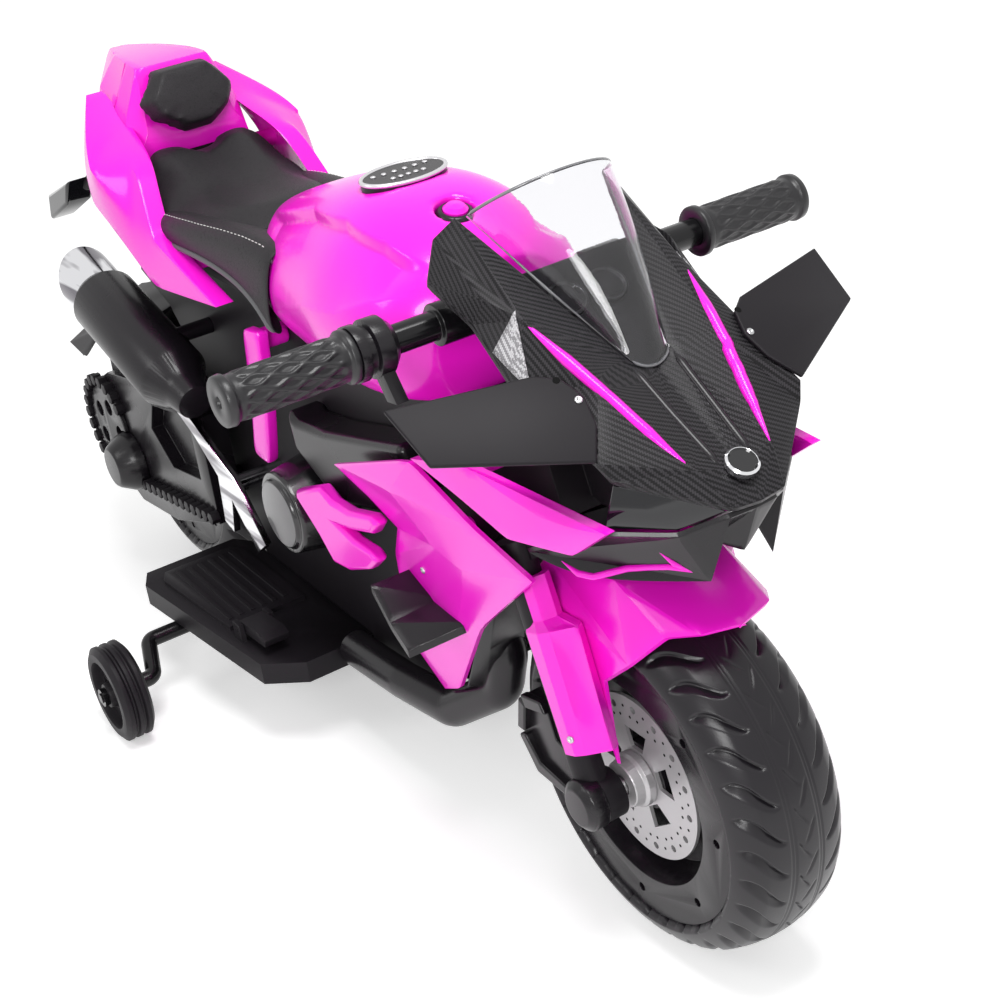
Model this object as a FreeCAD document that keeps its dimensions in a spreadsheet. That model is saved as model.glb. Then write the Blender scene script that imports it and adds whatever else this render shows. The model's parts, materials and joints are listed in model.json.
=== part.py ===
import FreeCAD, Part
import math
import os
import Sketcher

# Kids electric motorbike. +X is forward, +Y is the rider's left, +Z is up.
# The origin lies on the ground, midway between the two axles. Millimetres.
Vec = FreeCAD.Vector
doc = FreeCAD.newDocument("KidsMotorbike")
sheet = doc.addObject("Spreadsheet::Sheet", "Dims")

# Driving dimensions
SIZES = [
    ("wheel_base", 844, "front axle to rear axle"),
    ("tyre_d", 300, "outer diameter of both tyres"),
    ("tyre_w", 100, "widest part of a tyre"),
    ("tyre_h", 32, "section height of a tyre"),
    ("bead_d", "=tyre_d - 2 * tyre_h", "tyre seat on the rim"),
    ("rim_w", 90, "width of the rim across its side rings"),
    ("ring_w", 32, "width of a rim's side ring"),
    ("well_d", "=bead_d - 2 * ring_w", "opening of the dished rim"),
    ("rim_holes", 8, "drain holes in each rim ring"),
    ("hub_d", 56, "wheel hub"),
    ("hub_w", 66, "front hub across the disc seats"),
    ("axle_d", 16, "front and rear axle"),
    ("run_fit", 0.05, "radial play of a turning piece"),
    ("rest_gap", 0.3, "gap between pieces that only rest together"),
    ("disc_d", "=well_d - 34", "brake disc"),
    ("disc_wall", 3, "brake disc thickness"),
    ("disc_holes", 15, "drilled holes round a disc"),
    ("rake_angle", 20, "steering axis from the vertical, degrees"),
    ("stem_d", 36, "steering stem"),
    ("fork_track", 152, "between the fork tubes"),
    ("fork_tube_d", 26, "fork tube"),
    ("crown_wall", 16, "fork crown thickness"),
    ("crown_at", 208, "top of the crown along the steering axis"),
    ("bar_at", 374, "handlebar along the steering axis"),
    ("bar_d", 22, "handlebar tube"),
    ("bar_w", 506, "handlebar over its ends"),
    ("grip_d", 34, "grip"),
    ("grip_l", 102, "grip length"),
    ("chassis_w", 92, "chassis over both halves"),
    ("panel_wall", 4, "bodywork wall"),
    ("tank_w", 206, "tank at its widest"),
    ("seat_w", 176, "seat cushion at its widest"),
    ("seat_z", 452, "seat cushion underside above ground"),
    ("base_w", 124, "seat base width"),
    ("board_w", 344, "over both foot boards"),
    ("board_drop", 52, "foot board surface below the axles"),
    ("board_top", "=tyre_d / 2 - board_drop", "foot board surface above ground"),
    ("board_wall", 22, "foot board thickness"),
    ("training_d", 98, "training wheel"),
    ("training_w", 30, "training wheel width"),
    ("training_track", 496, "between the training wheels"),
    ("training_axle_d", 10, "training wheel stub axle"),
    ("arm_d", 16, "training arm bar"),
    ("muffler_d", 70, "muffler body"),
    ("muffler_side", 106, "muffler axis from the centre plane"),
    ("cover_w", 30, "swingarm cover thickness"),
    ("cover_side", 62, "inner face of a swingarm cover"),
    ("dome_d", 64, "axle cover"),
    ("sprocket_d", 104, "moulded sprocket"),
    ("link_pitch", 15, "chain link pitch"),
    ("engine_d", 82, "round engine cover"),
    ("engine_side", 106, "face of the engine cover from the centre plane"),
    ("button_d", 20, "push button"),
    ("button_travel", 3, "push button travel"),
    ("pin_d", 6, "pedal pin"),
    ("tube_d", 34, "belly tube"),
]
for row, (alias, value, note) in enumerate(SIZES, 1):
    sheet.set(f"A{row}", note)
    sheet.set(f"B{row}", str(value))
    sheet.setAlias(f"B{row}", alias)
doc.recompute()


def size(alias):
    """Value of a driving dimension."""
    return float(sheet.get(alias))


# The bodywork is drawn for this wheelbase and axle height, and stretches or rises with them.
DRAWN_BASE = 844.0
DRAWN_AXLE = 150.0
STRETCH = size("wheel_base") / DRAWN_BASE
AXLE_Z = size("tyre_d") / 2
FRONT_X = size("wheel_base") / 2
REAR_X = -FRONT_X
WALL = size("panel_wall")
GAP = size("rest_gap")
FIT = size("run_fit")
HALF = size("chassis_w") / 2
RAKE = math.radians(size("rake_angle"))
UP_FORK = Vec(-math.sin(RAKE), 0, math.cos(RAKE))
RAKED = FreeCAD.Rotation(Vec(0, 1, 0), -size("rake_angle"))
TO_RIGHT = Vec(0, -1, 0)
nodes = {}


def st(x):
    """Station along the bike."""
    return x * STRETCH


def up(z):
    """Height above the ground."""
    return z - DRAWN_AXLE + AXLE_Z


def right(x, out, z):
    """Point on the rider's right, out millimetres from the centre plane."""
    return Vec(st(x), -out, up(z))


def on_fork(along, ahead=0.0, out=0.0):
    """Point measured up the steering axis from the front axle, and ahead of it."""
    x = FRONT_X - math.sin(RAKE) * along + math.cos(RAKE) * ahead
    z = AXLE_Z + math.cos(RAKE) * along + math.sin(RAKE) * ahead
    return Vec(x, -out, z)


def ex(x):
    """Expression for a station along the bike."""
    return f"Dims.wheel_base * {x / DRAWN_BASE:.6f}"


def ez(z):
    """Expression for a height above the ground."""
    return f"Dims.tyre_d / 2 + {z - DRAWN_AXLE:g}"


def keep(obj, label):
    """Make an object of the document a sub-part of its own."""
    obj.Label = label
    nodes[label] = obj
    return obj


# Sketches and bodies
def new_body(name):
    return doc.addObject("PartDesign::Body", name)


def new_sketch(body, role, offset=None):
    """Sketch on one of the body's origin planes, moved along the plane's normal."""
    sketch = body.newObject("Sketcher::SketchObject", "Sketch")
    plane = [item for item in body.Origin.OriginFeatures if item.Role == role][0]
    sketch.AttachmentSupport = [(plane, "")]
    sketch.MapMode = "FlatFace"
    if offset is not None:
        sketch.setExpression("AttachmentOffset.Base.z", str(offset))
    return sketch


def fix(sketch, kind, geo, pos, expression):
    """Bind one coordinate of a point to an expression."""
    value = float(sketch.evalExpression(expression))
    index = sketch.addConstraint(Sketcher.Constraint(kind, -1, 1, geo, pos, value))
    sketch.setExpression(f"Constraints[{index}]", expression)


def outline(sketch, corners):
    """Closed polygon whose corners are pairs of numbers or expressions."""
    pairs = [(str(a), str(b)) for a, b in corners]
    spots = [Vec(float(sketch.evalExpression(a)), float(sketch.evalExpression(b)), 0) for a, b in pairs]
    first = sketch.GeometryCount
    count = len(pairs)
    for i in range(count):
        sketch.addGeometry(Part.LineSegment(spots[i], spots[(i + 1) % count]), False)
    for i in range(count):
        sketch.addConstraint(Sketcher.Constraint("Coincident", first + i, 2, first + (i + 1) % count, 1))
    for i, (a, b) in enumerate(pairs):
        fix(sketch, "DistanceX", first + i, 1, a)
        fix(sketch, "DistanceY", first + i, 1, b)
    return sketch


def circle(sketch, a, b, radius):
    """Circle whose centre and radius are expressions."""
    spot = Vec(float(sketch.evalExpression(str(a))), float(sketch.evalExpression(str(b))), 0)
    value = float(sketch.evalExpression(str(radius)))
    geo = sketch.addGeometry(Part.Circle(spot, Vec(0, 0, 1), value), False)
    index = sketch.addConstraint(Sketcher.Constraint("Radius", geo, value))
    sketch.setExpression(f"Constraints[{index}]", str(radius))
    fix(sketch, "DistanceX", geo, 3, str(a))
    fix(sketch, "DistanceY", geo, 3, str(b))
    return sketch


def pad(body, sketch, length):
    feature = body.newObject("PartDesign::Pad", "Pad")
    feature.Profile = sketch
    feature.setExpression("Length", str(length))
    return feature


def pocket(body, sketch, depth, reverse=False):
    """Pocket that must take material away."""
    doc.recompute()
    before = body.Shape.Volume
    feature = body.newObject("PartDesign::Pocket", "Pocket")
    feature.Profile = sketch
    feature.setExpression("Length", str(depth))
    feature.Reversed = reverse
    doc.recompute()
    if body.Shape.Volume > before - 1:
        raise RuntimeError(f"a pocket of {body.Name} cuts nothing")
    return feature


def spin_pattern(body, feature, sketch, count):
    """Repeat a feature round the sketch's own normal."""
    pattern = body.newObject("PartDesign::PolarPattern", "Pattern")
    pattern.Originals = [feature]
    pattern.Axis = (sketch, ["N_Axis"])
    pattern.Angle = 360
    pattern.setExpression("Occurrences", str(count))
    body.Tip = pattern
    return pattern


def turned(name, profile, x=None, z=None):
    """Body of revolution about the Y axis, moved to an axle."""
    body = new_body(name)
    sketch = outline(new_sketch(body, "YZ_Plane"), profile)
    feature = body.newObject("PartDesign::Revolution", "Revolution")
    feature.Profile = sketch
    feature.ReferenceAxis = (sketch, ["H_Axis"])
    feature.Angle = 360
    if x is not None:
        body.setExpression("Placement.Base.x", x)
    if z is not None:
        body.setExpression("Placement.Base.z", z)
    return body


# Primitives and booleans
def rod(name, radius, length, base, direction):
    """Cylinder from a base point along a direction."""
    obj = doc.addObject("Part::Cylinder", name)
    obj.setExpression("Radius", str(radius))
    obj.setExpression("Height", str(length))
    obj.Placement = FreeCAD.Placement(base, FreeCAD.Rotation(Vec(0, 0, 1), direction))
    return obj


def fused(name, parts):
    obj = doc.addObject("Part::MultiFuse", name)
    obj.Shapes = parts
    obj.Refine = True
    return obj


def cut(name, base, tool):
    obj = doc.addObject("Part::Cut", name)
    obj.Base = base
    obj.Tool = tool
    return obj


def mirrored(name, source):
    """The same piece on the rider's left."""
    obj = doc.addObject("Part::Mirroring", name)
    obj.Source = source
    obj.Normal = Vec(0, 1, 0)
    return obj


def both_sides(label, source):
    """One node that holds the right piece and its left twin."""
    pair = doc.addObject("Part::Compound", label)
    pair.Links = [source, mirrored(label + "_left", source)]
    return keep(pair, label)


def twins(stem, source):
    """Two nodes, the right piece and its left twin."""
    keep(source, stem + "_right")
    keep(mirrored(stem + "_left", source), stem + "_left")


def feature(name, shape):
    obj = doc.addObject("Part::Feature", name)
    obj.Shape = shape
    return obj


# Folded skins: flat facets with one wall thickness
def triangles(facets):
    for corners in facets:
        for i in range(1, len(corners) - 1):
            yield corners[0], corners[i], corners[i + 1]


def polygon_face(points):
    return Part.Face(Part.makePolygon(list(points) + [points[0]]))


def skin(facets, push):
    """Closed solid between a folded skin and its copy moved by push."""
    def key(p):
        return round(p.x, 4), round(p.y, 4), round(p.z, 4)

    faces = []
    edges = {}
    for a, b, c in triangles(facets):
        faces.append(polygon_face([a, b, c]))
        faces.append(polygon_face([c + push, b + push, a + push]))
        for start, end in ((a, b), (b, c), (c, a)):
            edges[key(start), key(end)] = (start, end)
    for (start_key, end_key), (start, end) in edges.items():
        if (end_key, start_key) not in edges:
            faces.append(polygon_face([end, start, start + push, end + push]))
    shell = Part.makeShell(faces)
    shell.sewShape()
    solid = Part.makeSolid(shell)
    if solid.Volume < 0:
        solid.reverse()
    return solid.removeSplitter()


def mirror_facets(facets):
    """Add the left half of a skin that is drawn for the right half."""
    left = [[Vec(p.x, -p.y, p.z) for p in reversed(corners)] for corners in facets]
    return facets + left


def named_facets(points, names):
    """Facets spelled with the one-letter names of their corners."""
    spots = {name: right(*place) for name, place in points.items()}
    return [[spots[letter] for letter in word] for word in names.split()]


def side_panel(facets, bosses, seat=None):
    """Skin of a side panel with screw bosses that reach the chassis."""
    seat = HALF if seat is None else seat
    deep = skin(facets, Vec(0, size("fork_track"), 0))
    solid = skin(facets, Vec(0, WALL, 0))
    for x, z, radius in bosses:
        post = Part.makeCylinder(radius, size("fork_track"), Vec(st(x), -seat, up(z)), TO_RIGHT)
        solid = solid.fuse(post.common(deep))
    return solid.removeSplitter()


# Bent bars
def bent_path(points, radius):
    """Straight runs joined by tangent arcs."""
    edges = []
    start = points[0]
    for before, corner, after in zip(points, points[1:], points[2:]):
        to_before = (before - corner).normalize()
        to_after = (after - corner).normalize()
        half = to_before.getAngle(to_after) / 2
        reach = radius / math.tan(half)
        enter = corner + to_before * reach
        leave = corner + to_after * reach
        middle = (to_before + to_after).normalize()
        inside = corner + middle * (radius / math.sin(half) - radius)
        edges.append(Part.LineSegment(start, enter).toShape())
        edges.append(Part.Arc(enter, inside, leave).toShape())
        start = leave
    edges.append(Part.LineSegment(start, points[-1]).toShape())
    return Part.Wire(edges)


def bent_bar(points, radius, bar_radius):
    path = bent_path(points, radius)
    ring = Part.Wire(Part.Circle(points[0], points[1] - points[0], bar_radius).toShape())
    return path.makePipe(Part.Face(ring))


# Rounded sections for lofts
def dome_section(x, half, low, side, top, crown=0.55):
    """Closed section across the bike with a flat underside and a rounded top."""
    foot = half * 0.86
    spots = [(foot, low), (half, side), (half * crown, side + (top - side) * 0.86), (0, top)]
    spots += [(-a, b) for a, b in reversed(spots[:-1])]
    arch = Part.BSplineCurve()
    arch.interpolate([Vec(st(x), a, up(b)) for a, b in spots])
    floor = Part.LineSegment(Vec(st(x), -foot, up(low)), Vec(st(x), foot, up(low)))
    return Part.Wire([arch.toShape(), floor.toShape()])


def trimmed(shape, floor):
    """Cut a lofted form off flat at a height, so that it stands on a true plane."""
    reach = size("wheel_base")
    block = Part.makeBox(2 * reach, 2 * reach, reach, Vec(-reach, -reach, up(floor) - reach))
    return shape.cut(block)


def flat_section(x, corners):
    """Polygon across the bike, drawn for the right half and mirrored."""
    points = [Vec(st(x), -a, up(b)) for a, b in corners]
    points += [Vec(st(x), a, up(b)) for a, b in reversed(corners)]
    return Part.makePolygon(points + [points[0]])


# Wheels
def tyre_shape(x):
    """Round tyre on its rim seat."""
    crown = size("tyre_d") / 2
    seat = size("bead_d") / 2
    half = size("tyre_w") / 2
    bead = size("rim_w") / 2
    depth = crown - seat

    def spot(side, drop):
        return Vec(x, half * side, AXLE_Z + crown - depth * drop)

    def seat_spot(y):
        return Vec(x, y, AXLE_Z + seat)

    edges = [
        Part.Arc(spot(-0.64, 0.17), spot(0, 0), spot(0.64, 0.17)).toShape(),
        Part.Arc(spot(0.64, 0.17), spot(0.88, 0.48), spot(1, 0.87)).toShape(),
        Part.LineSegment(spot(1, 0.87), seat_spot(bead)).toShape(),
        Part.LineSegment(seat_spot(bead), seat_spot(-bead)).toShape(),
        Part.LineSegment(seat_spot(-bead), spot(-1, 0.87)).toShape(),
        Part.Arc(spot(-1, 0.87), spot(-0.88, 0.48), spot(-0.64, 0.17)).toShape(),
    ]
    return Part.Face(Part.Wire(edges)).revolve(Vec(x, 0, AXLE_Z), Vec(0, 1, 0), 360)


def rim_body(name, x):
    """Dished plastic rim with side rings, a web and a hub."""
    web = 18
    profile = [("Dims.rim_w / 2", "Dims.bead_d / 2"), ("Dims.rim_w / 2", "Dims.well_d / 2")]
    profile += [(web, "Dims.well_d / 2 - 8"), (web, "Dims.hub_d / 2")]
    profile += [("Dims.hub_w / 2", "Dims.hub_d / 2"), ("Dims.hub_w / 2", "Dims.axle_d / 2 + Dims.run_fit")]
    mirror = [(f"-({y})", r) for y, r in reversed(profile)]
    body = turned(name, profile + mirror, x, "Dims.tyre_d / 2")
    for face, reverse in (("Dims.rim_w / 2 - 5", True), ("-Dims.rim_w / 2 + 5", False)):
        drill = new_sketch(body, "XZ_Plane", face)
        circle(drill, 0, "Dims.bead_d / 4 + Dims.well_d / 4", 3.5)
        spin_pattern(body, pocket(body, drill, 8, reverse), drill, "Dims.rim_holes")
    return body


def brake_disc():
    """Drilled disc with five spokes, seated on the front hub."""
    body = new_body("Disc")
    face = new_sketch(body, "XZ_Plane", "Dims.hub_w / 2")
    circle(face, 0, 0, "Dims.disc_d / 2")
    circle(face, 0, 0, "Dims.axle_d / 2 + 3")
    pad(body, face, "Dims.disc_wall")
    slot = new_sketch(body, "XZ_Plane", "Dims.hub_w / 2")
    outline(slot, [(-7, 24), (7, 24), (13, "Dims.disc_d / 2 - 28"), (-13, "Dims.disc_d / 2 - 28")])
    window = pocket(body, slot, "Dims.disc_wall", True)
    spin_pattern(body, window, slot, 5)
    drill = new_sketch(body, "XZ_Plane", "Dims.hub_w / 2")
    circle(drill, 0, "Dims.disc_d / 2 - 9", 3)
    hole = pocket(body, drill, "Dims.disc_wall", True)
    spin_pattern(body, hole, drill, "Dims.disc_holes")
    body.setExpression("Placement.Base.x", "Dims.wheel_base / 2")
    body.setExpression("Placement.Base.z", "Dims.tyre_d / 2")
    return body


def make_wheels():
    keep(feature("FrontTyre", tyre_shape(FRONT_X)), "front_tyre")
    keep(feature("RearTyre", tyre_shape(REAR_X)), "rear_tyre")
    keep(rim_body("FrontRim", "Dims.wheel_base / 2"), "front_rim")
    keep(rim_body("RearRim", "-Dims.wheel_base / 2"), "rear_rim")
    both_sides("brake_discs", brake_disc())


LUG_IN = size("cover_side") - 1
LUG_OUT = size("fork_track") / 2 + 2


def make_axles():
    front = rod("FrontAxle", "Dims.axle_d / 2", 2 * LUG_OUT, Vec(FRONT_X, LUG_OUT, AXLE_Z), TO_RIGHT)
    keep(front, "front_axle")
    reach = size("cover_side") + size("cover_w")
    rear = rod("RearAxle", "Dims.axle_d / 2", 2 * reach, Vec(REAR_X, reach, AXLE_Z), TO_RIGHT)
    keep(rear, "rear_axle")
    face = LUG_OUT + GAP
    cap = turned("FrontCap", [(-face, 0), (-face, 21), (-face - 12, 21), (-face - 17, 15), (-face - 17, 0)],
                 "Dims.wheel_base / 2", "Dims.tyre_d / 2")
    both_sides("front_axle_caps", cap)


# Steering
def fork_leg():
    """Fork tube, lower leg and axle lug of the right side."""
    out = size("fork_track") / 2
    tube_l = size("crown_at") - size("crown_wall") / 2
    tube = Part.makeCylinder(size("fork_tube_d") / 2, tube_l, on_fork(0, 0, out), UP_FORK)
    lug = Part.makeCylinder(20, LUG_OUT - LUG_IN, Vec(FRONT_X, -LUG_IN, AXLE_Z), TO_RIGHT)
    bore = Part.makeCylinder(size("axle_d") / 2 + FIT, 4 * out, Vec(FRONT_X, 0, AXLE_Z), TO_RIGHT)
    room = Part.makeCylinder(21 + GAP, out, Vec(FRONT_X, -LUG_OUT, AXLE_Z), TO_RIGHT)
    return tube.fuse(lug).cut([bore, room])


def make_fork():
    out = size("fork_track") / 2
    base = size("crown_at") - size("crown_wall")
    leg = fork_leg()
    ends = Part.makeCylinder(15, size("crown_wall"), on_fork(base, 0, out), UP_FORK)
    middle = Part.makeCylinder(28, size("crown_wall"), on_fork(base), UP_FORK)
    bridge = Part.makeBox(36, 2 * out, size("crown_wall"))
    bridge.Placement = FreeCAD.Placement(on_fork(base, -18, out), RAKED)
    stem_l = size("bar_at") - size("bar_d") - size("crown_at") - 8
    stem = Part.makeCylinder(size("stem_d") / 2, stem_l, on_fork(size("crown_at")), UP_FORK)
    solid = leg.fuse([ends, middle, bridge, stem])
    twin = leg.fuse(ends).mirror(Vec(0, 0, 0), Vec(0, 1, 0))
    keep(feature("Fork", solid.fuse(twin).removeSplitter()), "steering_fork")


def fork_cover():
    """Folded cover round a fork tube, wider at its top."""
    out = size("fork_track") / 2
    low = [(-4, -14), (22, -14), (28, -5), (23, 9), (14, 14), (0, 14), (-6, 6), (-6, -6)]
    high = [(-6, -14), (26, -14), (34, -5), (28, 10), (18, 15), (2, 15), (-8, 7), (-9, -6)]
    neck = [(-4, -12), (16, -12), (22, -4), (18, 7), (10, 10), (-2, 9), (-7, 4), (-7, -6)]

    def section(along, corners):
        points = [on_fork(along, ahead, out + side) for ahead, side in corners]
        return Part.makePolygon(points + [points[0]])

    rings = [section(42, low), section(64, low), section(140, high), section(147, neck), section(180, neck)]
    solid = Part.makeLoft(rings, True, True)
    bore = Part.makeCylinder(size("fork_tube_d") / 2 + GAP, 400, on_fork(-100, 0, out), UP_FORK)
    return solid.cut(bore)


FENDER = {
    "a": (338, 0, 324), "b": (430, 0, 338), "c": (516, 0, 312), "d": (507, 32, 313),
    "e": (432, 46, 331), "f": (342, 44, 315), "g": (336, 60, 296), "h": (372, 61, 296),
    "i": (460, 61, 279), "j": (487, 46, 308), "k": (427, 61, 251), "l": (432, 61, 180),
    "m": (398, 61, 255),
}


def make_fender():
    """Saddle over the front tyre with an arm down each fork leg."""
    half = skin(named_facets(FENDER, "abef bcde feih fhg edji hikm mkl"), Vec(0, 3, -2.4))
    shell = half.fuse(half.mirror(Vec(0, 0, 0), Vec(0, 1, 0))).removeSplitter()
    keep(feature("Fender", shell), "front_fender")


def caliper():
    """Moulded brake caliper behind the fork leg."""
    body = new_body("Caliper")
    side = new_sketch(body, "XZ_Plane", LUG_IN + 1)
    corners = [(401, 150), (392, 176), (376, 180), (366, 210), (338, 204), (328, 166), (350, 138)]
    corners += [(396, 136)]
    outline(side, [(ex(x), ez(z)) for x, z in corners])
    pad(body, side, 16)
    lug = rod("CaliperLug", 20 + GAP, 200, Vec(FRONT_X, 0, AXLE_Z), TO_RIGHT)
    out = size("fork_track") / 2
    room = "Dims.fork_tube_d / 2 + Dims.rest_gap"
    tube = rod("CaliperTube", room, 300, on_fork(-50, 0, out), UP_FORK)
    return cut("CaliperCut", body, fused("CaliperTools", [lug, tube]))


def make_bar():
    """Straight bar, its clamp on the stem, the left grip and the throttle."""
    centre = on_fork(size("bar_at"))
    half = size("bar_w") / 2
    bar = rod("Bar", "Dims.bar_d / 2", "Dims.bar_w", centre + Vec(0, half, 0), TO_RIGHT)
    stem_top = size("bar_at") - size("bar_d") - 8
    block = doc.addObject("Part::Box", "Clamp")
    block.Length = 40
    block.Width = 64
    block.Height = size("bar_d") + 8
    block.Placement = FreeCAD.Placement(on_fork(stem_top, -20, 32), RAKED)
    collar_r = "Dims.bar_d / 2 + 5"
    collars = [rod("Collar", collar_r, 34, centre + Vec(0, y, 0), TO_RIGHT) for y in (84, -50)]
    keep(fused("Handlebar", [bar, block] + collars), "handlebar")
    grip_end = half + 3
    inner = grip_end - size("grip_l")

    def sleeve(name, play):
        """Grip with a flange at each end, closed over the bar's end."""
        bore = f"Dims.bar_d / 2 + {play}"
        radius = "Dims.grip_d / 2"
        flange = f"{radius} + 3"
        profile = [(-inner, bore), (-inner, flange), (-inner - 5, flange), (-inner - 6, radius)]
        profile += [(-grip_end + 8, radius), (-grip_end + 7, f"{radius} + 2"), (-grip_end, f"{radius} + 1")]
        profile += [(-grip_end, 4), (-half - GAP, 4), (-half - GAP, bore)]
        body = turned(name, profile)
        body.Placement.Base = Vec(centre.x, 0, centre.z)
        return body

    keep(sleeve("ThrottleGrip", "Dims.run_fit"), "throttle_grip")
    keep(mirrored("GripLeft", sleeve("GripPattern", "Dims.run_fit")), "grip_left")
    bore = "Dims.bar_d / 2 + Dims.run_fit"
    edge = inner - GAP
    rings = [(0, bore), (0, 21), (7, 21), (8, 18), (13, 18), (14, 22), (26, 22), (32, 16), (32, bore)]
    rings = [(along - edge, radius) for along, radius in rings]
    housing = turned("HousingRings", rings)
    housing.Placement.Base = Vec(centre.x, 0, centre.z)
    fin = feature("HousingFin", skin([[Vec(centre.x + 14, -edge + 15, centre.z - 12),
                                       Vec(centre.x + 14, -edge + 25, centre.z - 12),
                                       Vec(centre.x + 30, -edge + 25, centre.z - 34),
                                       Vec(centre.x + 30, -edge + 15, centre.z - 34)]], Vec(-14, 0, -2)))
    keep(fused("ThrottleHousing", [housing, fin]), "throttle_housing")


# Chassis
def chassis_half():
    """Right moulded half with the battery and motor bays and the steering head."""
    body = new_body("ChassisRight")
    head = [on_fork(212, -36), on_fork(212, 30), on_fork(300, 30), on_fork(300, -34)]
    side = [(p.x, p.z) for p in head]
    corners = [(260, 417.7), (-330, 417.7), (-400, 386), (-400, 364), (-338, 340), (-262, 262), (-262, 165)]
    corners += [(-212, 96), (-190, 80), (108, 80), (200, 140), (222, 262)]
    flank = new_sketch(body, "XZ_Plane")
    outline(flank, side + [(ex(x), ez(z)) for x, z in corners])
    pad(body, flank, "Dims.chassis_w / 2")
    nose = [(354, 376), (352, 420), (386, 452), (445, 476.8), (521, 434.6), (521, 406), (500, 390)]
    nose += [(470, 378), (386, 364)]
    carrier = new_sketch(body, "XZ_Plane")
    outline(carrier, [(ex(x), ez(z)) for x, z in nose])
    pad(body, carrier, 19)
    for x0, x1, z0, z1, half in (BATTERY, MOTOR):
        bay = new_sketch(body, "XZ_Plane")
        outline(bay, [(ex(x0), ez(z0)), (ex(x1), ez(z0)), (ex(x1), ez(z1)), (ex(x0), ez(z1))])
        pocket(body, bay, half, True)
    bore = rod("HeadBore", "Dims.stem_d / 2 + Dims.run_fit", 200, on_fork(180), UP_FORK)
    return cut("ChassisCut", body, bore)


BATTERY = (-70, 80, 190, 290, 36)
MOTOR = (-232, -140, 200, 300, 36)


def boxed_in(name, bay, lid):
    """Block that stands on the floor of its bay, with a smaller lid on top."""
    x0, x1, z0, z1, half = bay
    body = new_body(name)
    sketch = new_sketch(body, "XY_Plane", ez(z0 + GAP))
    inset = 3
    a, b, c = ex(x0 + inset), ex(x1 - inset), half - inset
    outline(sketch, [(a, -c), (b, -c), (b, c), (a, c)])
    pad(body, sketch, z1 - z0 - 2 * inset - lid)
    top = new_sketch(body, "XY_Plane", ez(z1 - 2 * inset - lid))
    a, b, c = ex(x0 + 5 * inset), ex(x1 - 5 * inset), half - 4 * inset
    outline(top, [(a, -c), (b, -c), (b, c), (a, c)])
    pad(body, top, lid)
    return body


def make_chassis():
    half = chassis_half()
    twins("chassis", half)
    keep(boxed_in("Battery", BATTERY, 8), "battery")
    keep(boxed_in("Motor", MOTOR, 24), "motor_gearbox")
    bends = [(216.2, 34, 204), (250, 34, 196), (242, 42, 146), (182, 60, 104), (110, 68, 102), (17, 68, 94)]
    tube = bent_bar([right(*p) for p in bends], 24, size("tube_d") / 2)
    both_sides("belly_tubes", feature("BellyTube", tube))


# Bodywork
TANK = [(-82, 26, 470, 496), (-45, 66, 462, 512), (40, 90, 476, 540), (126, 103, 488, 557),
        (196, 102, 494, 548), (236, 82, 500, 530), (256, 52, 500, 518)]
TANK_FLOOR = 418.1
PANEL_AT = (126, 553)
BUTTON_AT = (196, 0, 541)


def tilted(x, z, slope):
    """Frame on the tank top: its Z axis leans forward by the slope in degrees."""
    return FreeCAD.Placement(Vec(st(x), 0, up(z)), FreeCAD.Rotation(Vec(0, 1, 0), slope))


def make_tank():
    """Lofted tank cover with seats for the oval panel and the push button."""
    widen = size("tank_w") / 218
    wires = [dome_section(x, half * widen, TANK_FLOOR - WALL, side, top) for x, half, side, top in TANK]
    shell = trimmed(Part.makeLoft(wires, True, False), TANK_FLOOR)
    oval = Part.Face(Part.Wire(Part.Ellipse(Vec(0, 0, 0), 38, 24).toShape()))
    oval.rotate(Vec(0, 0, 0), Vec(0, 0, 1), 90)
    seat = oval.extrude(Vec(0, 0, 40))
    seat.Placement = tilted(*PANEL_AT, 2)
    plate = Part.Face(Part.Wire(Part.Ellipse(Vec(0, 0, 0), 38 - GAP, 24 - GAP).toShape()))
    plate.rotate(Vec(0, 0, 0), Vec(0, 0, 1), 90)
    panel = plate.extrude(Vec(0, 0, 7))
    rim = panel.Edges
    panel = panel.makeChamfer(1.5, [edge for edge in rim if edge.BoundBox.ZMin > 6])
    panel.Placement = tilted(*PANEL_AT, 2)
    lean = 14
    hole = size("button_d") / 2
    x, _, z = BUTTON_AT
    well = Part.makeCylinder(hole + 6, 60)
    well.Placement = tilted(x, z - 14, lean)
    keep(feature("TankCover", shell.cut(seat).cut(well)), "tank_cover")
    keep(feature("TankPanel", panel), "tank_panel")
    bore = hole + FIT
    wall = hole + 6 - GAP
    collar = turned_ring([(bore, 0), (wall, 0), (wall, 15), (hole + 3, 18), (bore, 18)])
    collar.Placement = tilted(x, z - 14, lean)
    keep(feature("ButtonRing", collar), "button_ring")
    foot = size("button_travel") + GAP
    button = turned_ring([(0, foot), (hole, foot), (hole, 19), (hole - 3, 22), (0, 23)])
    button.Placement = tilted(x, z - 14, lean)
    keep(feature("PushButton", button), "push_button")


def turned_ring(profile):
    """Solid of revolution about Z from pairs of radius and height."""
    points = [Vec(r, 0, z) for r, z in profile]
    return polygon_face(points).revolve(Vec(0, 0, 0), Vec(0, 0, 1), 360)


SEAT = [(-290, 50, 30, 58), (-250, 76, 24, 46), (-200, 88, 16, 33), (-140, 82, 14, 30), (-88, 56, 12, 22)]


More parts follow.
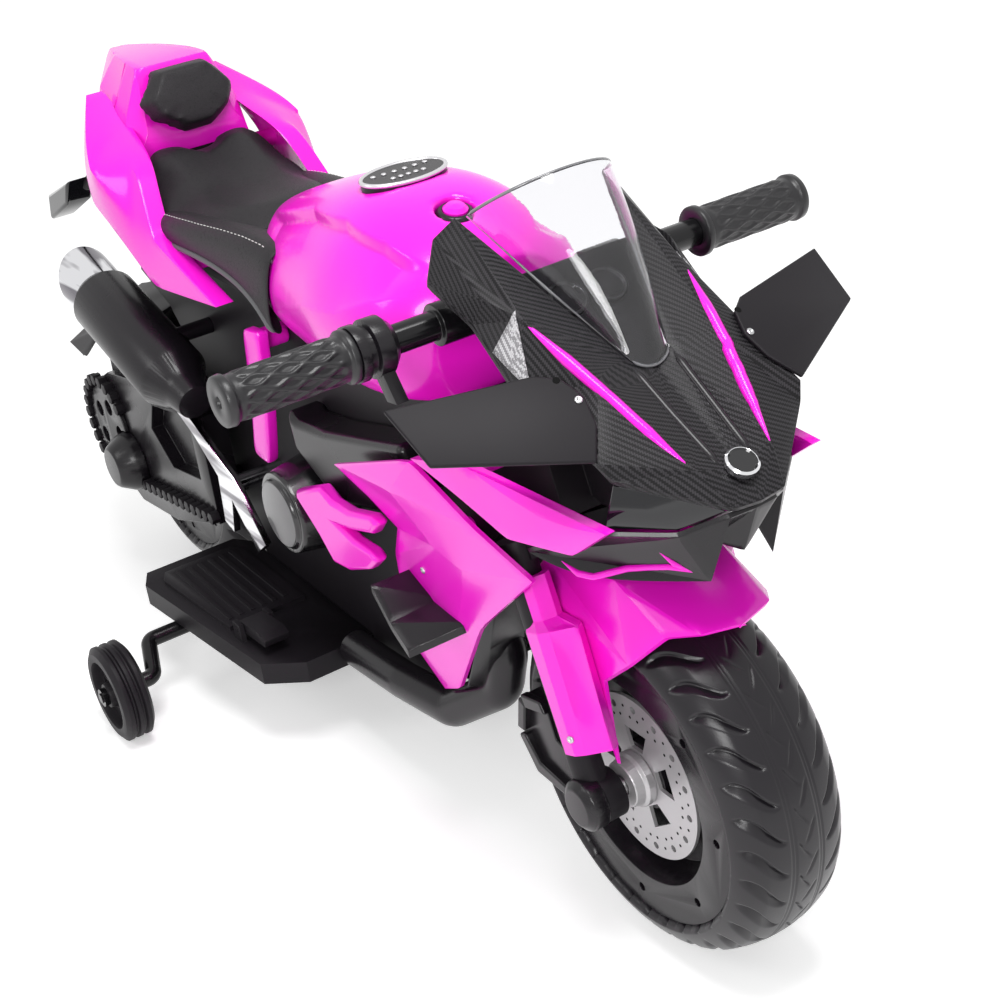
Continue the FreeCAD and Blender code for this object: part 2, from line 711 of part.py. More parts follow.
def make_seat():
    """Saddle cushion on its moulded base."""
    widen = size("seat_w") / 176
    floor = size("seat_z")
    wires = [dome_section(x, half * widen, floor - WALL, floor + side, floor + top, 0.62)
             for x, half, side, top in SEAT]
    cushion = trimmed(Part.makeLoft(wires, True, False), floor + GAP)
    keep(feature("SeatCushion", cushion), "seat_cushion")
    body = new_body("SeatBase")
    side = new_sketch(body, "XZ_Plane", "-Dims.base_w / 2")
    corners = [(-84, 418), (-330, 418), (-432, 530), (-444, 558.6), (-293, 505.2)]
    outline(side, [(ex(x), ez(z)) for x, z in corners] + [(ex(-292), f"Dims.seat_z + {AXLE_Z - DRAWN_AXLE}"),
                                                          (ex(-84), f"Dims.seat_z + {AXLE_Z - DRAWN_AXLE}")])
    pad(body, side, "Dims.base_w")
    plan = new_body("SeatPlan")
    taper = new_sketch(plan, "XY_Plane")
    half = "Dims.base_w / 2"
    edge = [(-80, half), (-340, f"{half} - 2"), (-400, f"{half} - 14"), (-446, f"{half} - 50")]
    ring = [(ex(x), y) for x, y in edge] + [(ex(x), f"-({y})") for x, y in reversed(edge)]
    outline(taper, ring)
    pad(plan, taper, "Dims.tyre_d * 2")
    tapered = doc.addObject("Part::Common", "SeatBaseTapered")
    tapered.Base = body
    tapered.Tool = plan
    keep(tapered, "seat_base")


def make_tail():
    """Single seat hump, its pad and the pods beside it."""
    hump = [(-452, [(8, 583), (13, 576), (14, 562.2)]), (-400, [(24, 588), (46, 560), (50, 543.7)]),
            (-340, [(36, 590), (58, 548), (61, 522.4)]), (-312, [(38, 588), (60, 540), (61, 512.5)]),
            (-291, [(46, 530), (56, 516), (58, 505.1)])]
    wires = [flat_section(x, corners) for x, corners in hump]
    keep(feature("TailCover", Part.makeLoft(wires, True, True)), "tail_cover")
    pod = {"a": (-373, 71, 562), "b": (-312, 72, 537), "c": (-248, 82, 520), "d": (-228, 90, 497),
           "e": (-200, 98, 457), "f": (-82, 97, 421), "g": (-214, 101, 409), "h": (-280, 106, 454),
           "i": (-320, 106, 470), "j": (-336, 104, 504), "k": (-236, 103, 470), "l": (-284, 114, 511),
           "m": (-308, 106, 531)}
    facets = named_facets(pod, "abm bclm cdkl dek efgk kghl lhij ljam")
    bosses = [(-312, 488, 9), (-170, 436, 8)]
    both_sides("tail_pods", feature("TailPod", side_panel(facets, bosses, size("base_w") / 2 + GAP)))
    pad_face = [(-26, 28), (26, 28), (47, -2), (38, -22), (14, -38), (-14, -38), (-38, -22), (-47, -2)]
    lean = math.atan2(21, 58)

    def on_face(across, rise, proud):
        x = st(-301) - math.sin(lean) * rise + math.cos(lean) * proud
        return Vec(x, across, up(559) + math.cos(lean) * rise + math.sin(lean) * proud)

    low = [on_face(a, b, GAP) for a, b in pad_face]
    high = [on_face(a * 0.8, b * 0.8, 20) for a, b in pad_face]
    loft = Part.makeLoft([Part.makePolygon(low + [low[0]]), Part.makePolygon(high + [high[0]])], True, True)
    keep(feature("BackPad", loft), "back_pad")


FAIRING = {
    "a": (110, 98, 331), "b": (258, 104, 388), "c": (345, 105, 363), "d": (408, 99, 342),
    "q": (300, 87, 250), "e": (217, 70, 146), "f": (186, 68, 130), "g": (158, 78, 170),
    "h": (176, 88, 268), "i": (194, 91, 300), "j": (158, 95, 317), "m": (222, 107, 350),
    "r": (268, 101, 317), "s": (309, 101, 312), "t": (272, 86, 236), "u": (194, 88, 256),
}
BLADE = {
    "a": (262, 104, 391), "b": (345, 104, 413), "c": (499, 93, 413), "d": (456, 93, 380),
    "e": (425, 101, 378), "f": (390, 104, 372), "g": (328, 106, 386), "h": (440, 102, 402),
}
CANARD = {
    "a": (202, 127, 265), "b": (226, 127, 240), "c": (252, 128, 226), "d": (277, 80, 243),
    "e": (231, 80, 246), "f": (198, 80, 262),
}
DUCT = {
    "a": (306, 100, 264), "b": (260, 90, 210), "c": (212, 80, 150), "d": (206, 53, 156),
    "e": (234, 53, 216), "f": (262, 53, 268),
}


def make_fairings():
    """Folded side fairings, upper blades, canards and inner ducts."""
    lower = named_facets(FAIRING, "abm bcm csrm cds dqts qet tefg utgh rstu ruhi mri mija")
    bosses = [(150, 300, 8), (236, 300, 8), (196, 175, 8)]
    twins("side_fairing", feature("SideFairing", side_panel(lower, bosses)))
    blade = named_facets(BLADE, "abg bhfg bch cdeh hef")
    both_sides("upper_blades", feature("UpperBlade", side_panel(blade, [(325, 399, 8)])))
    behind = skin(lower, Vec(0, size("fork_track"), 0))
    canard = skin(named_facets(CANARD, "abef bcde"), Vec(0, 0, -7))
    outside = behind.translated(Vec(0, -GAP, 0))
    both_sides("canards", feature("Canard", canard.cut(outside)))
    duct = skin(named_facets(DUCT, "abef bcde"), Vec(-4, 0, 0))
    inside = behind.translated(Vec(0, WALL + GAP, 0))
    both_sides("ducts", feature("Duct", duct.common(inside)))


NOSE = {
    "a": (441, 0, 484), "b": (526, 0, 437), "c": (546, 0, 420), "d": (544, 21, 421),
    "e": (522, 31, 443), "f": (436, 17, 491), "g": (450, 54, 491), "h": (391, 69, 527),
    "i": (310, 64, 580), "j": (302, 79, 567), "k": (304, 90, 538), "l": (352, 86, 519),
    "m": (404, 90, 487), "n": (489, 86, 458), "o": (495, 80, 446), "p": (362, 80, 537),
}
NOSE_PUSH = Vec(-2.2, 0, -3.4)
JAW = {
    "a": (394, 90, 357), "b": (438, 76, 345), "c": (520, 27, 359), "d": (510, 20, 384),
    "e": (524, 0, 373), "f": (481, 83, 401), "g": (513, 45, 397), "h": (537, 20, 411),
    "i": (540, 0, 412),
}
LAMP = {
    "a": (492, 78.6, 441.3), "b": (541, 20.4, 417.3), "c": (534, 20, 415), "d": (511, 43.5, 401),
    "e": (479, 80, 405),
}


# Winglet corners on the nose facet, as shares of its two edges.
WINGLET = [(0.856, 0.655), (0.488, 0.374), (0.174, 0.332), (0.02, 0.554), (0.024, 1.017), (2.153, 2.922),
           (2.789, 2.78)]


def make_nose():
    """Nose cowl, windscreen, jaw, headlights, winglets and emblem."""
    facets = mirror_facets(named_facets(NOSE, "abegf bcde fghi ihj edong gnmh hmlp jhpk kpl"))
    keep(feature("NoseCowl", skin(facets, NOSE_PUSH)), "nose_cowl")
    jaw = mirror_facets(named_facets(JAW, "abcgf cdhg deih"))
    lip = skin(jaw, Vec(-2, 0, 3))
    deep = skin(jaw, Vec(-60, 0, 0))
    stay = Part.makeCylinder(6, 60, Vec(st(521) + GAP, 0, up(413)), Vec(1, 0, 0))
    keep(feature("Jaw", lip.fuse(stay.common(deep)).removeSplitter()), "jaw")
    lamp = named_facets(LAMP, "abcde")
    both_sides("headlights", feature("Headlight", skin(lamp, Vec(-5, 5, 0))))
    spots = {name: right(*place) for name, place in NOSE.items()}
    across = (spots["h"] - spots["g"]).cross(spots["n"] - spots["g"]).normalize()
    if across.z < 0:
        across = across * -1
    lift = across * WALL

    def on_skin(to_h, to_n):
        base = spots["g"] + (spots["h"] - spots["g"]) * to_h + (spots["n"] - spots["g"]) * to_n
        return base + lift

    plate = polygon_face([on_skin(*place) for place in WINGLET])
    wing = plate.extrude(across * (GAP - WALL))
    both_sides("winglets", feature("Winglet", wing))
    emblem = turned_ring([(0, 0), (12, 0), (12, 4), (10.5, 5.5), (9, 4), (0, 4)])
    ridge = spots["b"] - spots["a"]
    slope = math.degrees(math.atan2(ridge.x, -ridge.z))
    spot = spots["b"] + Vec(0.4, 0, 1.7)
    emblem.Placement = FreeCAD.Placement(spot, FreeCAD.Rotation(Vec(0, 1, 0), 90 - slope))
    away = Vec(NOSE_PUSH).normalize() * -GAP
    below = skin(facets, NOSE_PUSH * WALL).translated(away)
    keep(feature("Emblem", emblem.cut(below)), "emblem")
    make_screen()


def make_screen():
    """Curved clear screen that rests on the rails, and the tray under it."""
    def rib(out, side, middle):
        edge = right(side[0], out, side[1])
        centre = right(middle[0], 0, middle[1])
        return Part.Wire(Part.Arc(edge, centre, Vec(edge.x, -edge.y, edge.z)).toShape())

    low = rib(15.6, (438, 492.4), (443, 486))
    middle = rib(39, (377, 538), (408, 556))
    top = rib(59, (319, 582), (364, 610))
    face = Part.makeLoft([low, middle, top], False, False)
    keep(feature("Windscreen", face.extrude(Vec(-2, 0, -1))), "windscreen")
    tray = {"a": (352, 46, 482), "b": (430, 20, 478), "c": (440, 0, 478), "d": (352, 0, 470)}
    facets = mirror_facets(named_facets(tray, "abcd"))
    keep(feature("DashTray", skin(facets, Vec(0, 0, -3))), "dash_tray")


# Sides of the engine
def flat_piece(name, corners, inside, thick):
    """Flat moulding on the right side, seen from the side."""
    body = new_body(name)
    sketch = new_sketch(body, "XZ_Plane", inside)
    outline(sketch, [(ex(x), ez(z)) for x, z in corners])
    pad(body, sketch, thick)
    return body


def with_post(name, body, x, z, radius, reach):
    """Add a round post between the chassis side and a flat moulding."""
    post = rod(name + "Post", radius, reach, Vec(st(x), -HALF, up(z)), TO_RIGHT)
    return fused(name, [body, post])


def make_engine():
    face = size("engine_side")
    radius = "Dims.engine_d / 2"
    profile = [(-HALF, 0), (-HALF, f"{radius} + 8"), (16 - face, radius), (4 - face, f"{radius} - 2")]
    profile += [(4 - face, f"{radius} - 7"), (-face, f"{radius} - 9"), (-face, 0)]
    cover = turned("EngineCover", profile, ex(-12), ez(240))
    both_sides("engine_covers", cover)
    hook = [(62, 300), (92, 308), (124, 296), (172, 306), (178, 292), (132, 274), (120, 256)]
    hook += [(150, 242), (152, 228), (104, 214), (66, 232), (52, 262)]
    swoosh = with_post("SwooshFused", flat_piece("Swoosh", hook, 92, 10), 96, 262, 9, 48)
    both_sides("engine_swooshes", swoosh)
    strut = [(-66, 400), (-34, 404), (-44, 330), (-66, 262), (-98, 264), (-76, 336)]
    brace = with_post("StrutFused", flat_piece("Strut", strut, 72, 12), -58, 388, 10, 28)
    both_sides("frame_struts", brace)
    bracket = [(-234, 272), (-210, 278), (-122, 236), (-72, 182), (-94, 166), (-134, 208), (-146, 168)]
    bracket += [(-164, 174), (-158, 226), (-200, 256)]
    heel = with_post("HeelFused", flat_piece("Heel", bracket, 94, 7), -130, 226, 8, 50)
    both_sides("heel_brackets", heel)


# Rear end
SPROCKET_AT = (-470, 176)


def swingarm():
    """Moulded swingarm cover with a sunk window and the axle hole."""
    corners = [(-206, 268), (-250, 286), (-350, 264), (-452, 246), (-512, 214), (-522, 168), (-496, 122)]
    corners += [(-430, 96), (-330, 108), (-206, 150)]
    body = flat_piece("Swingarm", corners, "Dims.cover_side", "Dims.cover_w")
    window = new_sketch(body, "XZ_Plane", "Dims.cover_side + Dims.cover_w - 14")
    pane = [(-232, 262), (-330, 244), (-348, 212), (-306, 180), (-232, 192)]
    outline(window, [(ex(x), ez(z)) for x, z in pane])
    pocket(body, window, 20, True)
    hole = new_sketch(body, "XZ_Plane", "Dims.cover_side")
    circle(hole, "-Dims.wheel_base / 2", "Dims.tyre_d / 2", "Dims.axle_d / 2 + Dims.run_fit")
    pocket(body, hole, "Dims.cover_w", True)
    return with_post("SwingarmFused", body, -236, 176, 14, size("cover_side") - HALF)


def chain_shape():
    """Chain links round the sprocket and along the lower run."""
    face = size("cover_side") + size("cover_w")
    ring = size("sprocket_d") / 2 + 4
    pitch = size("link_pitch")
    centre = right(SPROCKET_AT[0], face, SPROCKET_AT[1])
    run_end = right(-206, face, 160)
    leave = centre + Vec(0, 0, -ring)
    along = run_end - leave
    spots = []
    links = int(along.Length / pitch)
    for i in range(links + 1):
        spots.append(leave + along * (i / links))
    turn = 2 * math.asin(pitch / ring / 2)
    for i in range(1, int(math.radians(250) / turn)):
        angle = -math.pi / 2 - i * turn
        spots.append(centre + Vec(ring * math.cos(angle), 0, ring * math.sin(angle)))

    def plate(spot, radius):
        turns = [k * math.pi / 3 for k in range(6)]
        corners = [spot + Vec(radius * math.cos(a), 0, radius * math.sin(a)) for a in turns]
        return polygon_face(corners).extrude(Vec(0, -9, 0))

    def web(a, b):
        side = (b - a).cross(Vec(0, 1, 0)).normalize() * 3
        return polygon_face([a + side, b + side, b - side, a - side]).extrude(Vec(0, -6, 0))

    order = list(reversed(spots[links + 1:])) + [leave] + spots[1:links + 1]
    pieces = [plate(spot, pitch * 0.44) for spot in order]
    pieces += [web(a, b) for a, b in zip(order, order[1:])]
    return pieces[0].fuse(pieces[1:])


def make_rear():
    both_sides("swingarms", swingarm())
    face = size("cover_side") + size("cover_w")
    dome_r = "Dims.dome_d / 2"
    profile = [(0, 0), (0, f"{dome_r} + 2"), (12, dome_r), (26, f"{dome_r} - 8"), (29, f"{dome_r} - 11")]
    profile += [(29, 0)]
    profile = [(-face - along, radius) for along, radius in profile]
    dome = turned("AxleCover", profile, "-Dims.wheel_base / 2", "Dims.tyre_d / 2")
    both_sides("axle_covers", dome)
    room = f"{dome_r} + 2 + Dims.rest_gap"
    clear = rod("DomeRoom", room, 60, Vec(REAR_X, 1 - face, AXLE_Z), TO_RIGHT)
    chain = feature("ChainWhole", chain_shape())
    both_sides("drive_chains", cut("ChainCut", chain, clear))
    disc = new_body("Sprocket")
    plate = new_sketch(disc, "XZ_Plane", face)
    circle(plate, ex(SPROCKET_AT[0]), ez(SPROCKET_AT[1]), "Dims.sprocket_d / 2 - Dims.link_pitch * 0.25")
    pad(disc, plate, 5)
    for i in range(5):
        angle = 2 * math.pi * i / 5
        holes = new_sketch(disc, "XZ_Plane", face)
        across = f"{ex(SPROCKET_AT[0])} + {27 * math.cos(angle)}"
        rise = f"{ez(SPROCKET_AT[1])} + {27 * math.sin(angle)}"
        circle(holes, across, rise, 9)
        pocket(disc, holes, 5, True)
    both_sides("sprockets", cut("SprocketCut", disc, clear))
    make_muffler()
    make_hugger()


def make_muffler():
    """Muffler on the right side with its slash-cut chrome tip."""
    side = size("muffler_side")
    radius = size("muffler_d") / 2
    front = right(-160, side, 306)
    rear = right(-362, side, 362)
    axis = (rear - front).normalize()
    length = (rear - front).Length
    profile = [(0, 0), (radius * 0.5, 0), (radius * 0.62, 22), (radius, 48), (radius, length - 8)]
    profile += [(radius - 5, length), (0, length)]
    body = turned_ring(profile)
    body.Placement = FreeCAD.Placement(front, FreeCAD.Rotation(Vec(0, 0, 1), axis))
    hanger = Part.makeCylinder(8, side - HALF, Vec(st(-236), -HALF, up(346)), TO_RIGHT)
    keep(feature("Muffler", body.fuse(hanger).removeSplitter()), "muffler")
    tube = turned_ring([(radius - 9, 0), (radius - 5, 0), (radius - 5, 58), (radius - 9, 58)])
    tube.Placement = FreeCAD.Placement(rear + axis * GAP, FreeCAD.Rotation(Vec(0, 0, 1), axis))
    slash = Part.makeBox(200, 200, 100)
    slash.translate(Vec(-100, -100, 0))
    lean = FreeCAD.Rotation(Vec(0, 0, 1), axis + Vec(0, 0, -0.55))
    slash.Placement = FreeCAD.Placement(rear + axis * 36, lean)
    slash.translate(slash.Placement.Rotation.multVec(Vec(-100, -100, 0)))
    keep(feature("MufflerTip", tube.cut(slash)), "muffler_tip")


def make_hugger():
    """Rear mudguard over the tyre and the indicators under the tail."""
    guard = {"a": (-356, 0, 342), "b": (-430, 0, 336), "c": (-540, 0, 300), "d": (-350, 58, 330),
             "e": (-430, 60, 318), "f": (-528, 58, 286), "g": (-345, 72, 306), "h": (-440, 92, 301),
             "i": (-560, 92, 252), "j": (-520, 92, 246)}
    half = skin(named_facets(guard, "abed bcfe dehg efih hij"), Vec(0, 3, -2.4))
    stay = [right(-450, 86, 246.8), right(-430, 86, 251.1), right(-426, 86, 300), right(-446, 86, 296)]
    half = half.fuse(skin([stay], Vec(0, 5, 0)))
    shell = half.fuse(half.mirror(Vec(0, 0, 0), Vec(0, 1, 0))).removeSplitter()
    keep(feature("Hugger", shell), "rear_hugger")
    lamp = {"a": (-470, 58, 452), "b": (-486, 58, 436), "c": (-548, 74, 404), "d": (-534, 74, 424)}
    points = [right(*lamp[key]) for key in "abcd"]
    stalk = skin([points], Vec(0, 12, 0))
    root = right(-406.0, 38, 499.6)
    reach = right(-476, 58, 445) - root
    arm = Part.makeCylinder(6, reach.Length, root, reach)
    both_sides("indicators", feature("Indicator", stalk.fuse(arm).removeSplitter()))


# Foot boards and training wheels
BOARD = [(12, 46.3), (12, 118), (-16, 152), (-240, 172), (-264, 160), (-264, 60), (-242, 46.3)]
PEDAL_AT = (-72, 128)


def foot_board(name, ears):
    """Foot board with a raised tread, and ears for a pedal where wanted."""
    body = new_body(name)
    floor = "Dims.board_top - Dims.board_wall"
    base = new_sketch(body, "XY_Plane", floor)
    widen = f"(Dims.board_w / 2 - {172})"
    corners = [(ex(x), f"-{out} - {widen}" if out > 100 else -out) for x, out in BOARD]
    outline(base, corners)
    pad(body, base, "Dims.board_wall")
    tread = new_sketch(body, "XY_Plane", "Dims.board_top")
    raised = [(-92, 64), (-92, 146), (-226, 156), (-242, 148), (-242, 74), (-232, 64)]
    outline(tread, [(ex(x), -out) for x, out in raised])
    pad(body, tread, 5)
    ribs = new_sketch(body, "XY_Plane", "Dims.board_top + 5")
    for out in range(76, 145, 12):
        outline(ribs, [(ex(-104), -out), (ex(-230), -out), (ex(-230), -out - 5), (ex(-104), -out - 5)])
    pad(body, ribs, 1.5)
    for out in ears:
        ear = new_sketch(body, "XZ_Plane", out)
        x, _ = PEDAL_AT
        top = "Dims.board_top"
        shape = [(-9, -1), (9, -1), (7, 18), (-7, 18)]
        outline(ear, [(f"{ex(x)} + {a}", f"{top} + {b}") for a, b in shape])
        pad(body, ear, 5)
        hole = new_sketch(body, "XZ_Plane", out)
        circle(hole, ex(x), f"{top} + 11", "Dims.pin_d / 2 + Dims.run_fit")
        pocket(body, hole, 5, True)
    return body


def pedal():
    """Ribbed pedal with its pin."""
    x, _ = PEDAL_AT
    body = new_body("Pedal")
    side = new_sketch(body, "XZ_Plane", 115 + 2 * GAP)
    top = "Dims.board_top"
    shape = [(-6, 6), (50, 11), (52, 18), (40, 22), (-4, 17)]
    outline(side, [(f"{ex(x)} + {a}", f"{top} + {b}") for a, b in shape])
    pad(body, side, 27 - 4 * GAP)
    pin = rod("PedalPin", "Dims.pin_d / 2", 37, Vec(st(x), -110, size("board_top") + 11), TO_RIGHT)
    return fused("PedalFused", [body, pin])


def training_wheel():
    """Slotted wheel with three tread ribs."""
    half = size("training_w") / 2
    radius = "Dims.training_d / 2"
    bore = "Dims.training_axle_d / 2 + Dims.run_fit"
    valley = f"{radius} - 3"
    profile = [(half, bore), (half, 12), (5, 14), (5, f"{radius} - 16"), (half, f"{radius} - 14")]
    profile += [(half, f"{radius} - 6"), (half - 4, radius), (half - 8, radius), (half - 10, valley)]
    profile += [(3, valley), (2, radius)]
    profile += [(-along, height) for along, height in reversed(profile)]
    body = turned("TrainingWheel", profile)
    slot = new_sketch(body, "XZ_Plane", -size("training_w"))
    outline(slot, [(-3, 17), (3, 17), (4, f"{radius} - 19"), (-4, f"{radius} - 19")])
    window = pocket(body, slot, 2 * size("training_w"), True)
    spin_pattern(body, window, slot, 8)
    body.Placement.Base = Vec(st(-151), -size("training_track") / 2, size("training_d") / 2)
    return body


def training_arm():
    """Bar from under the foot board to the wheel's stub axle."""
    bar = size("arm_d") / 2
    floor = size("board_top") - size("board_wall") - bar - GAP
    side = size("training_track") / 2
    half = size("training_w") / 2
    hub = size("training_d") / 2
    x = st(-151)
    inner = side - half - GAP
    bends = [Vec(x - 36, -90, floor), Vec(x - 36, 34 - inner, floor)]
    bends += [Vec(x, 20 - inner, hub), Vec(x, -inner, hub)]
    bar_shape = bent_bar(bends, 9, bar)
    pin = size("training_axle_d") / 2
    stub = Part.makeCylinder(pin, 2 * half + 8, Vec(x, 1 - inner, hub), TO_RIGHT)
    clip = Part.makeCylinder(pin + 4, 5, Vec(x, -side - half - GAP, hub), TO_RIGHT)
    return bar_shape.fuse([stub, clip]).removeSplitter()


def make_boards():
    keep(foot_board("BoardRight", (110, 142)), "foot_board_right")
    keep(mirrored("BoardLeft", foot_board("BoardPlain", ())), "foot_board_left")
    keep(pedal(), "pedal")
    twins("training_wheel", training_wheel())
    both_sides("training_arms", feature("TrainingArm", training_arm()))


make_wheels()
make_axles()
make_fork()
both_sides("fork_covers", feature("ForkCover", fork_cover()))
make_fender()
both_sides("calipers", caliper())
make_bar()
make_chassis()
make_tank()
make_seat()
make_tail()
make_fairings()
make_nose()
make_engine()
make_rear()
make_boards()
doc.recompute()

# Every object has to be sound before anything is written
for obj in doc.Objects:
    if "Invalid" in obj.State or "Error" in obj.State:
        raise RuntimeError(f"{obj.Label} failed: {obj.State}")
for label, obj in nodes.items():
    if obj.Shape.isNull() or not obj.Shape.isValid():
        raise RuntimeError(f"{label} has no valid shape")
os.makedirs("parts", exist_ok=True)
for label, obj in nodes.items():
    obj.Shape.exportStep(f"parts/{label}.step")
    print(label, len(obj.Shape.Solids), round(obj.Shape.Volume))
print(len(nodes), "sub-parts")
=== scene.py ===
# %% [markdown]
# # Kids electric motorbike: dressing the solid model
# The solids of this ride-on toy come in as a fixed frame: every piece already stands where it belongs, in
# metres, with +X forward, +Y to the rider's left and +Z up. This lesson gives each piece its finish, rounds
# the moulded edges, pads the seat and adds the small things that make a toy look real.

# %% Open the frame
import json
import math
import bmesh
import bpy
import numpy as np
from mathutils import Matrix, Vector
from mathutils.bvhtree import BVHTree

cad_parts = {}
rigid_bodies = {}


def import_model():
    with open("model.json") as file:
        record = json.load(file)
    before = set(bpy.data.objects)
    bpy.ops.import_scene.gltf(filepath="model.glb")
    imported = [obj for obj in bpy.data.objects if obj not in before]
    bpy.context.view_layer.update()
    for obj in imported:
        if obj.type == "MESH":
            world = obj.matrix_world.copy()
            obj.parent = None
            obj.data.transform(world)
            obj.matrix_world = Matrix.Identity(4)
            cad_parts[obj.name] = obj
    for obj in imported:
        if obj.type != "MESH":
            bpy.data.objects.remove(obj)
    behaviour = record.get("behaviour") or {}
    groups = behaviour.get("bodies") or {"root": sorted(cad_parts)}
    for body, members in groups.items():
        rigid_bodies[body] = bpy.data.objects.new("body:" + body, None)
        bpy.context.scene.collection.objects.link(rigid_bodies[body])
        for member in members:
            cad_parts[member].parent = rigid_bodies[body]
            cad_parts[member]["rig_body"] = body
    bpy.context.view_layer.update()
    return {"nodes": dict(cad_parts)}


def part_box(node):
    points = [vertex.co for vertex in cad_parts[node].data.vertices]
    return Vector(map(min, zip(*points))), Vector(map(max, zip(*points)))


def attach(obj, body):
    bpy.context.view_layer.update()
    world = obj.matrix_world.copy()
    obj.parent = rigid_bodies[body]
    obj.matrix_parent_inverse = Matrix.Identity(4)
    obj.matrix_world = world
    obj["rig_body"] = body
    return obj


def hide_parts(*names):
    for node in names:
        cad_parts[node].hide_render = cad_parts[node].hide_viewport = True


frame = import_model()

nodes = frame["nodes"]
MM = 0.001
WHEEL_X, AXLE_Z = 422.0, 150.0
RAKE = math.radians(20)
AHEAD, LEFT, UP = Vector((1, 0, 0)), Vector((0, 1, 0)), Vector((0, 0, 1))


def at(x, y, z):
    """Place in metres from millimetres."""
    return Vector((x, y, z)) * MM


def mirrored(corners):
    return [(x, -y, z) for x, y, z in corners]


# %% [markdown]
# ## Sums on sockets
# A material or a geometry recipe is a tree of nodes. Adding nodes one by one hides the idea, so a small class
# wraps an output socket and lets Python's own signs do the work: `1 - mask` adds the Math node for it.
# Every other node comes from one method, which takes the type, the settings and the sockets.


# %% Sums and trees
def sign(operation, swapped=False):
    """A method that puts a socket and another term through one operation."""
    def method(self, other):
        return self.sum(operation, *((other, self) if swapped else (self, other)))

    return method


class Flow:
    """An output socket that takes part in sums; each sum adds a Math node to its tree."""

    __add__, __radd__ = sign("ADD"), sign("ADD", True)
    __sub__, __rsub__ = sign("SUBTRACT"), sign("SUBTRACT", True)
    __mul__, __rmul__ = sign("MULTIPLY"), sign("MULTIPLY", True)
    __truediv__, __mod__, __pow__ = sign("DIVIDE"), sign("FLOORED_MODULO"), sign("POWER")
    __lt__, __gt__ = sign("LESS_THAN"), sign("GREATER_THAN")
    most = sign("MAXIMUM")

    def __init__(self, tree, socket):
        self.tree = tree
        self.socket = socket

    def sum(self, operation, *terms):
        return self.tree.add("ShaderNodeMath", {"operation": operation}, dict(enumerate(terms)))

    def __abs__(self):
        return self.sum("ABSOLUTE", self)

    def floor(self):
        return self.sum("FLOOR", self)

    def sine(self):
        return self.sum("SINE", self)

    def clipped(self):
        return self.sum("MAXIMUM", self.sum("MINIMUM", self, 1.0), 0.0)


class Tree:
    """A node tree with one way of adding nodes."""

    def __init__(self, tree):
        self.tree = tree

    def put(self, socket, value):
        if isinstance(value, Flow):
            self.tree.links.new(value.socket, socket)
        else:
            socket.default_value = value

    def add(self, kind, settings, sockets, out=0):
        node = self.tree.nodes.new(kind)
        for key, value in settings.items():
            setattr(node, key, value)
        for key, value in sockets.items():
            self.put(node.inputs[key], value)
        return Flow(self, node.outputs[out])

    def vector(self, operation, *terms, out=0):
        return self.add("ShaderNodeVectorMath", {"operation": operation}, dict(enumerate(terms)), out)

    def split(self, vector):
        """The three numbers of a vector."""
        first = self.add("ShaderNodeSeparateXYZ", {}, {0: vector})
        return [Flow(self, first.socket.node.outputs[i]) for i in range(3)]


print("sums ready")

# %% [markdown]
# ## Finishes
# The toy is moulded from a few plastics: a glossy hot pink, a matt and a satin black, a printed carbon weave,
# clear screen plastic, plated chrome and rubbery tyres and grips. Each finish starts from the same shader and
# lets noise drive only what really varies on a moulding: a little roughness, a little colour, a fine grain. On the
# chrome, noise paints dark streaks of reflection into the colour.


# %% A finish and its helpers
finishes = {}


class Finish(Tree):
    """A material in the making, listed by its name."""

    def __init__(self, name, colour, roughness, **fixed):
        self.material = bpy.data.materials.new(name)
        self.material.use_nodes = True
        super().__init__(self.material.node_tree)
        self.shader = self.tree.nodes["Principled BSDF"]
        finishes[name] = self.material
        self.look("Base Color", (*colour, 1.0))
        self.look("Roughness", roughness)
        for key, value in fixed.items():
            self.look(key.replace("_", " "), value)

    def look(self, socket, value):
        self.put(self.shader.inputs[socket], value)

    def spot(self):
        return self.add("ShaderNodeTexCoord", {}, {}, "Object")

    def noise(self, scale, detail=2.0):
        return self.add("ShaderNodeTexNoise", {}, {"Vector": self.spot(), "Scale": scale, "Detail": detail})

    def mix(self, factor, first, second):
        """Blend of two colours."""
        return self.add("ShaderNodeMix", {"data_type": "RGBA"}, {0: factor, 6: (*first, 1.0), 7: (*second, 1.0)}, 2)

    def emboss(self, height, distance, strength=1.0):
        bump = self.add("ShaderNodeBump", {}, {"Height": height, "Distance": distance, "Strength": strength})
        self.look("Normal", bump)


def tint(colour, factor):
    return tuple(c * factor for c in colour)


def moulded(name, colour, roughness, spread, grain, depth, **fixed):
    """Moulded plastic: a broad change of sheen, a slight change of tone and a fine grain."""
    finish = Finish(name, colour, roughness, **fixed)
    finish.look("Roughness", (roughness - spread / 2) + finish.noise(11.0) * spread)
    finish.look("Base Color", finish.mix(finish.noise(4.0), tint(colour, 0.92), tint(colour, 1.08)))
    finish.emboss(finish.noise(grain, 3.0), depth)


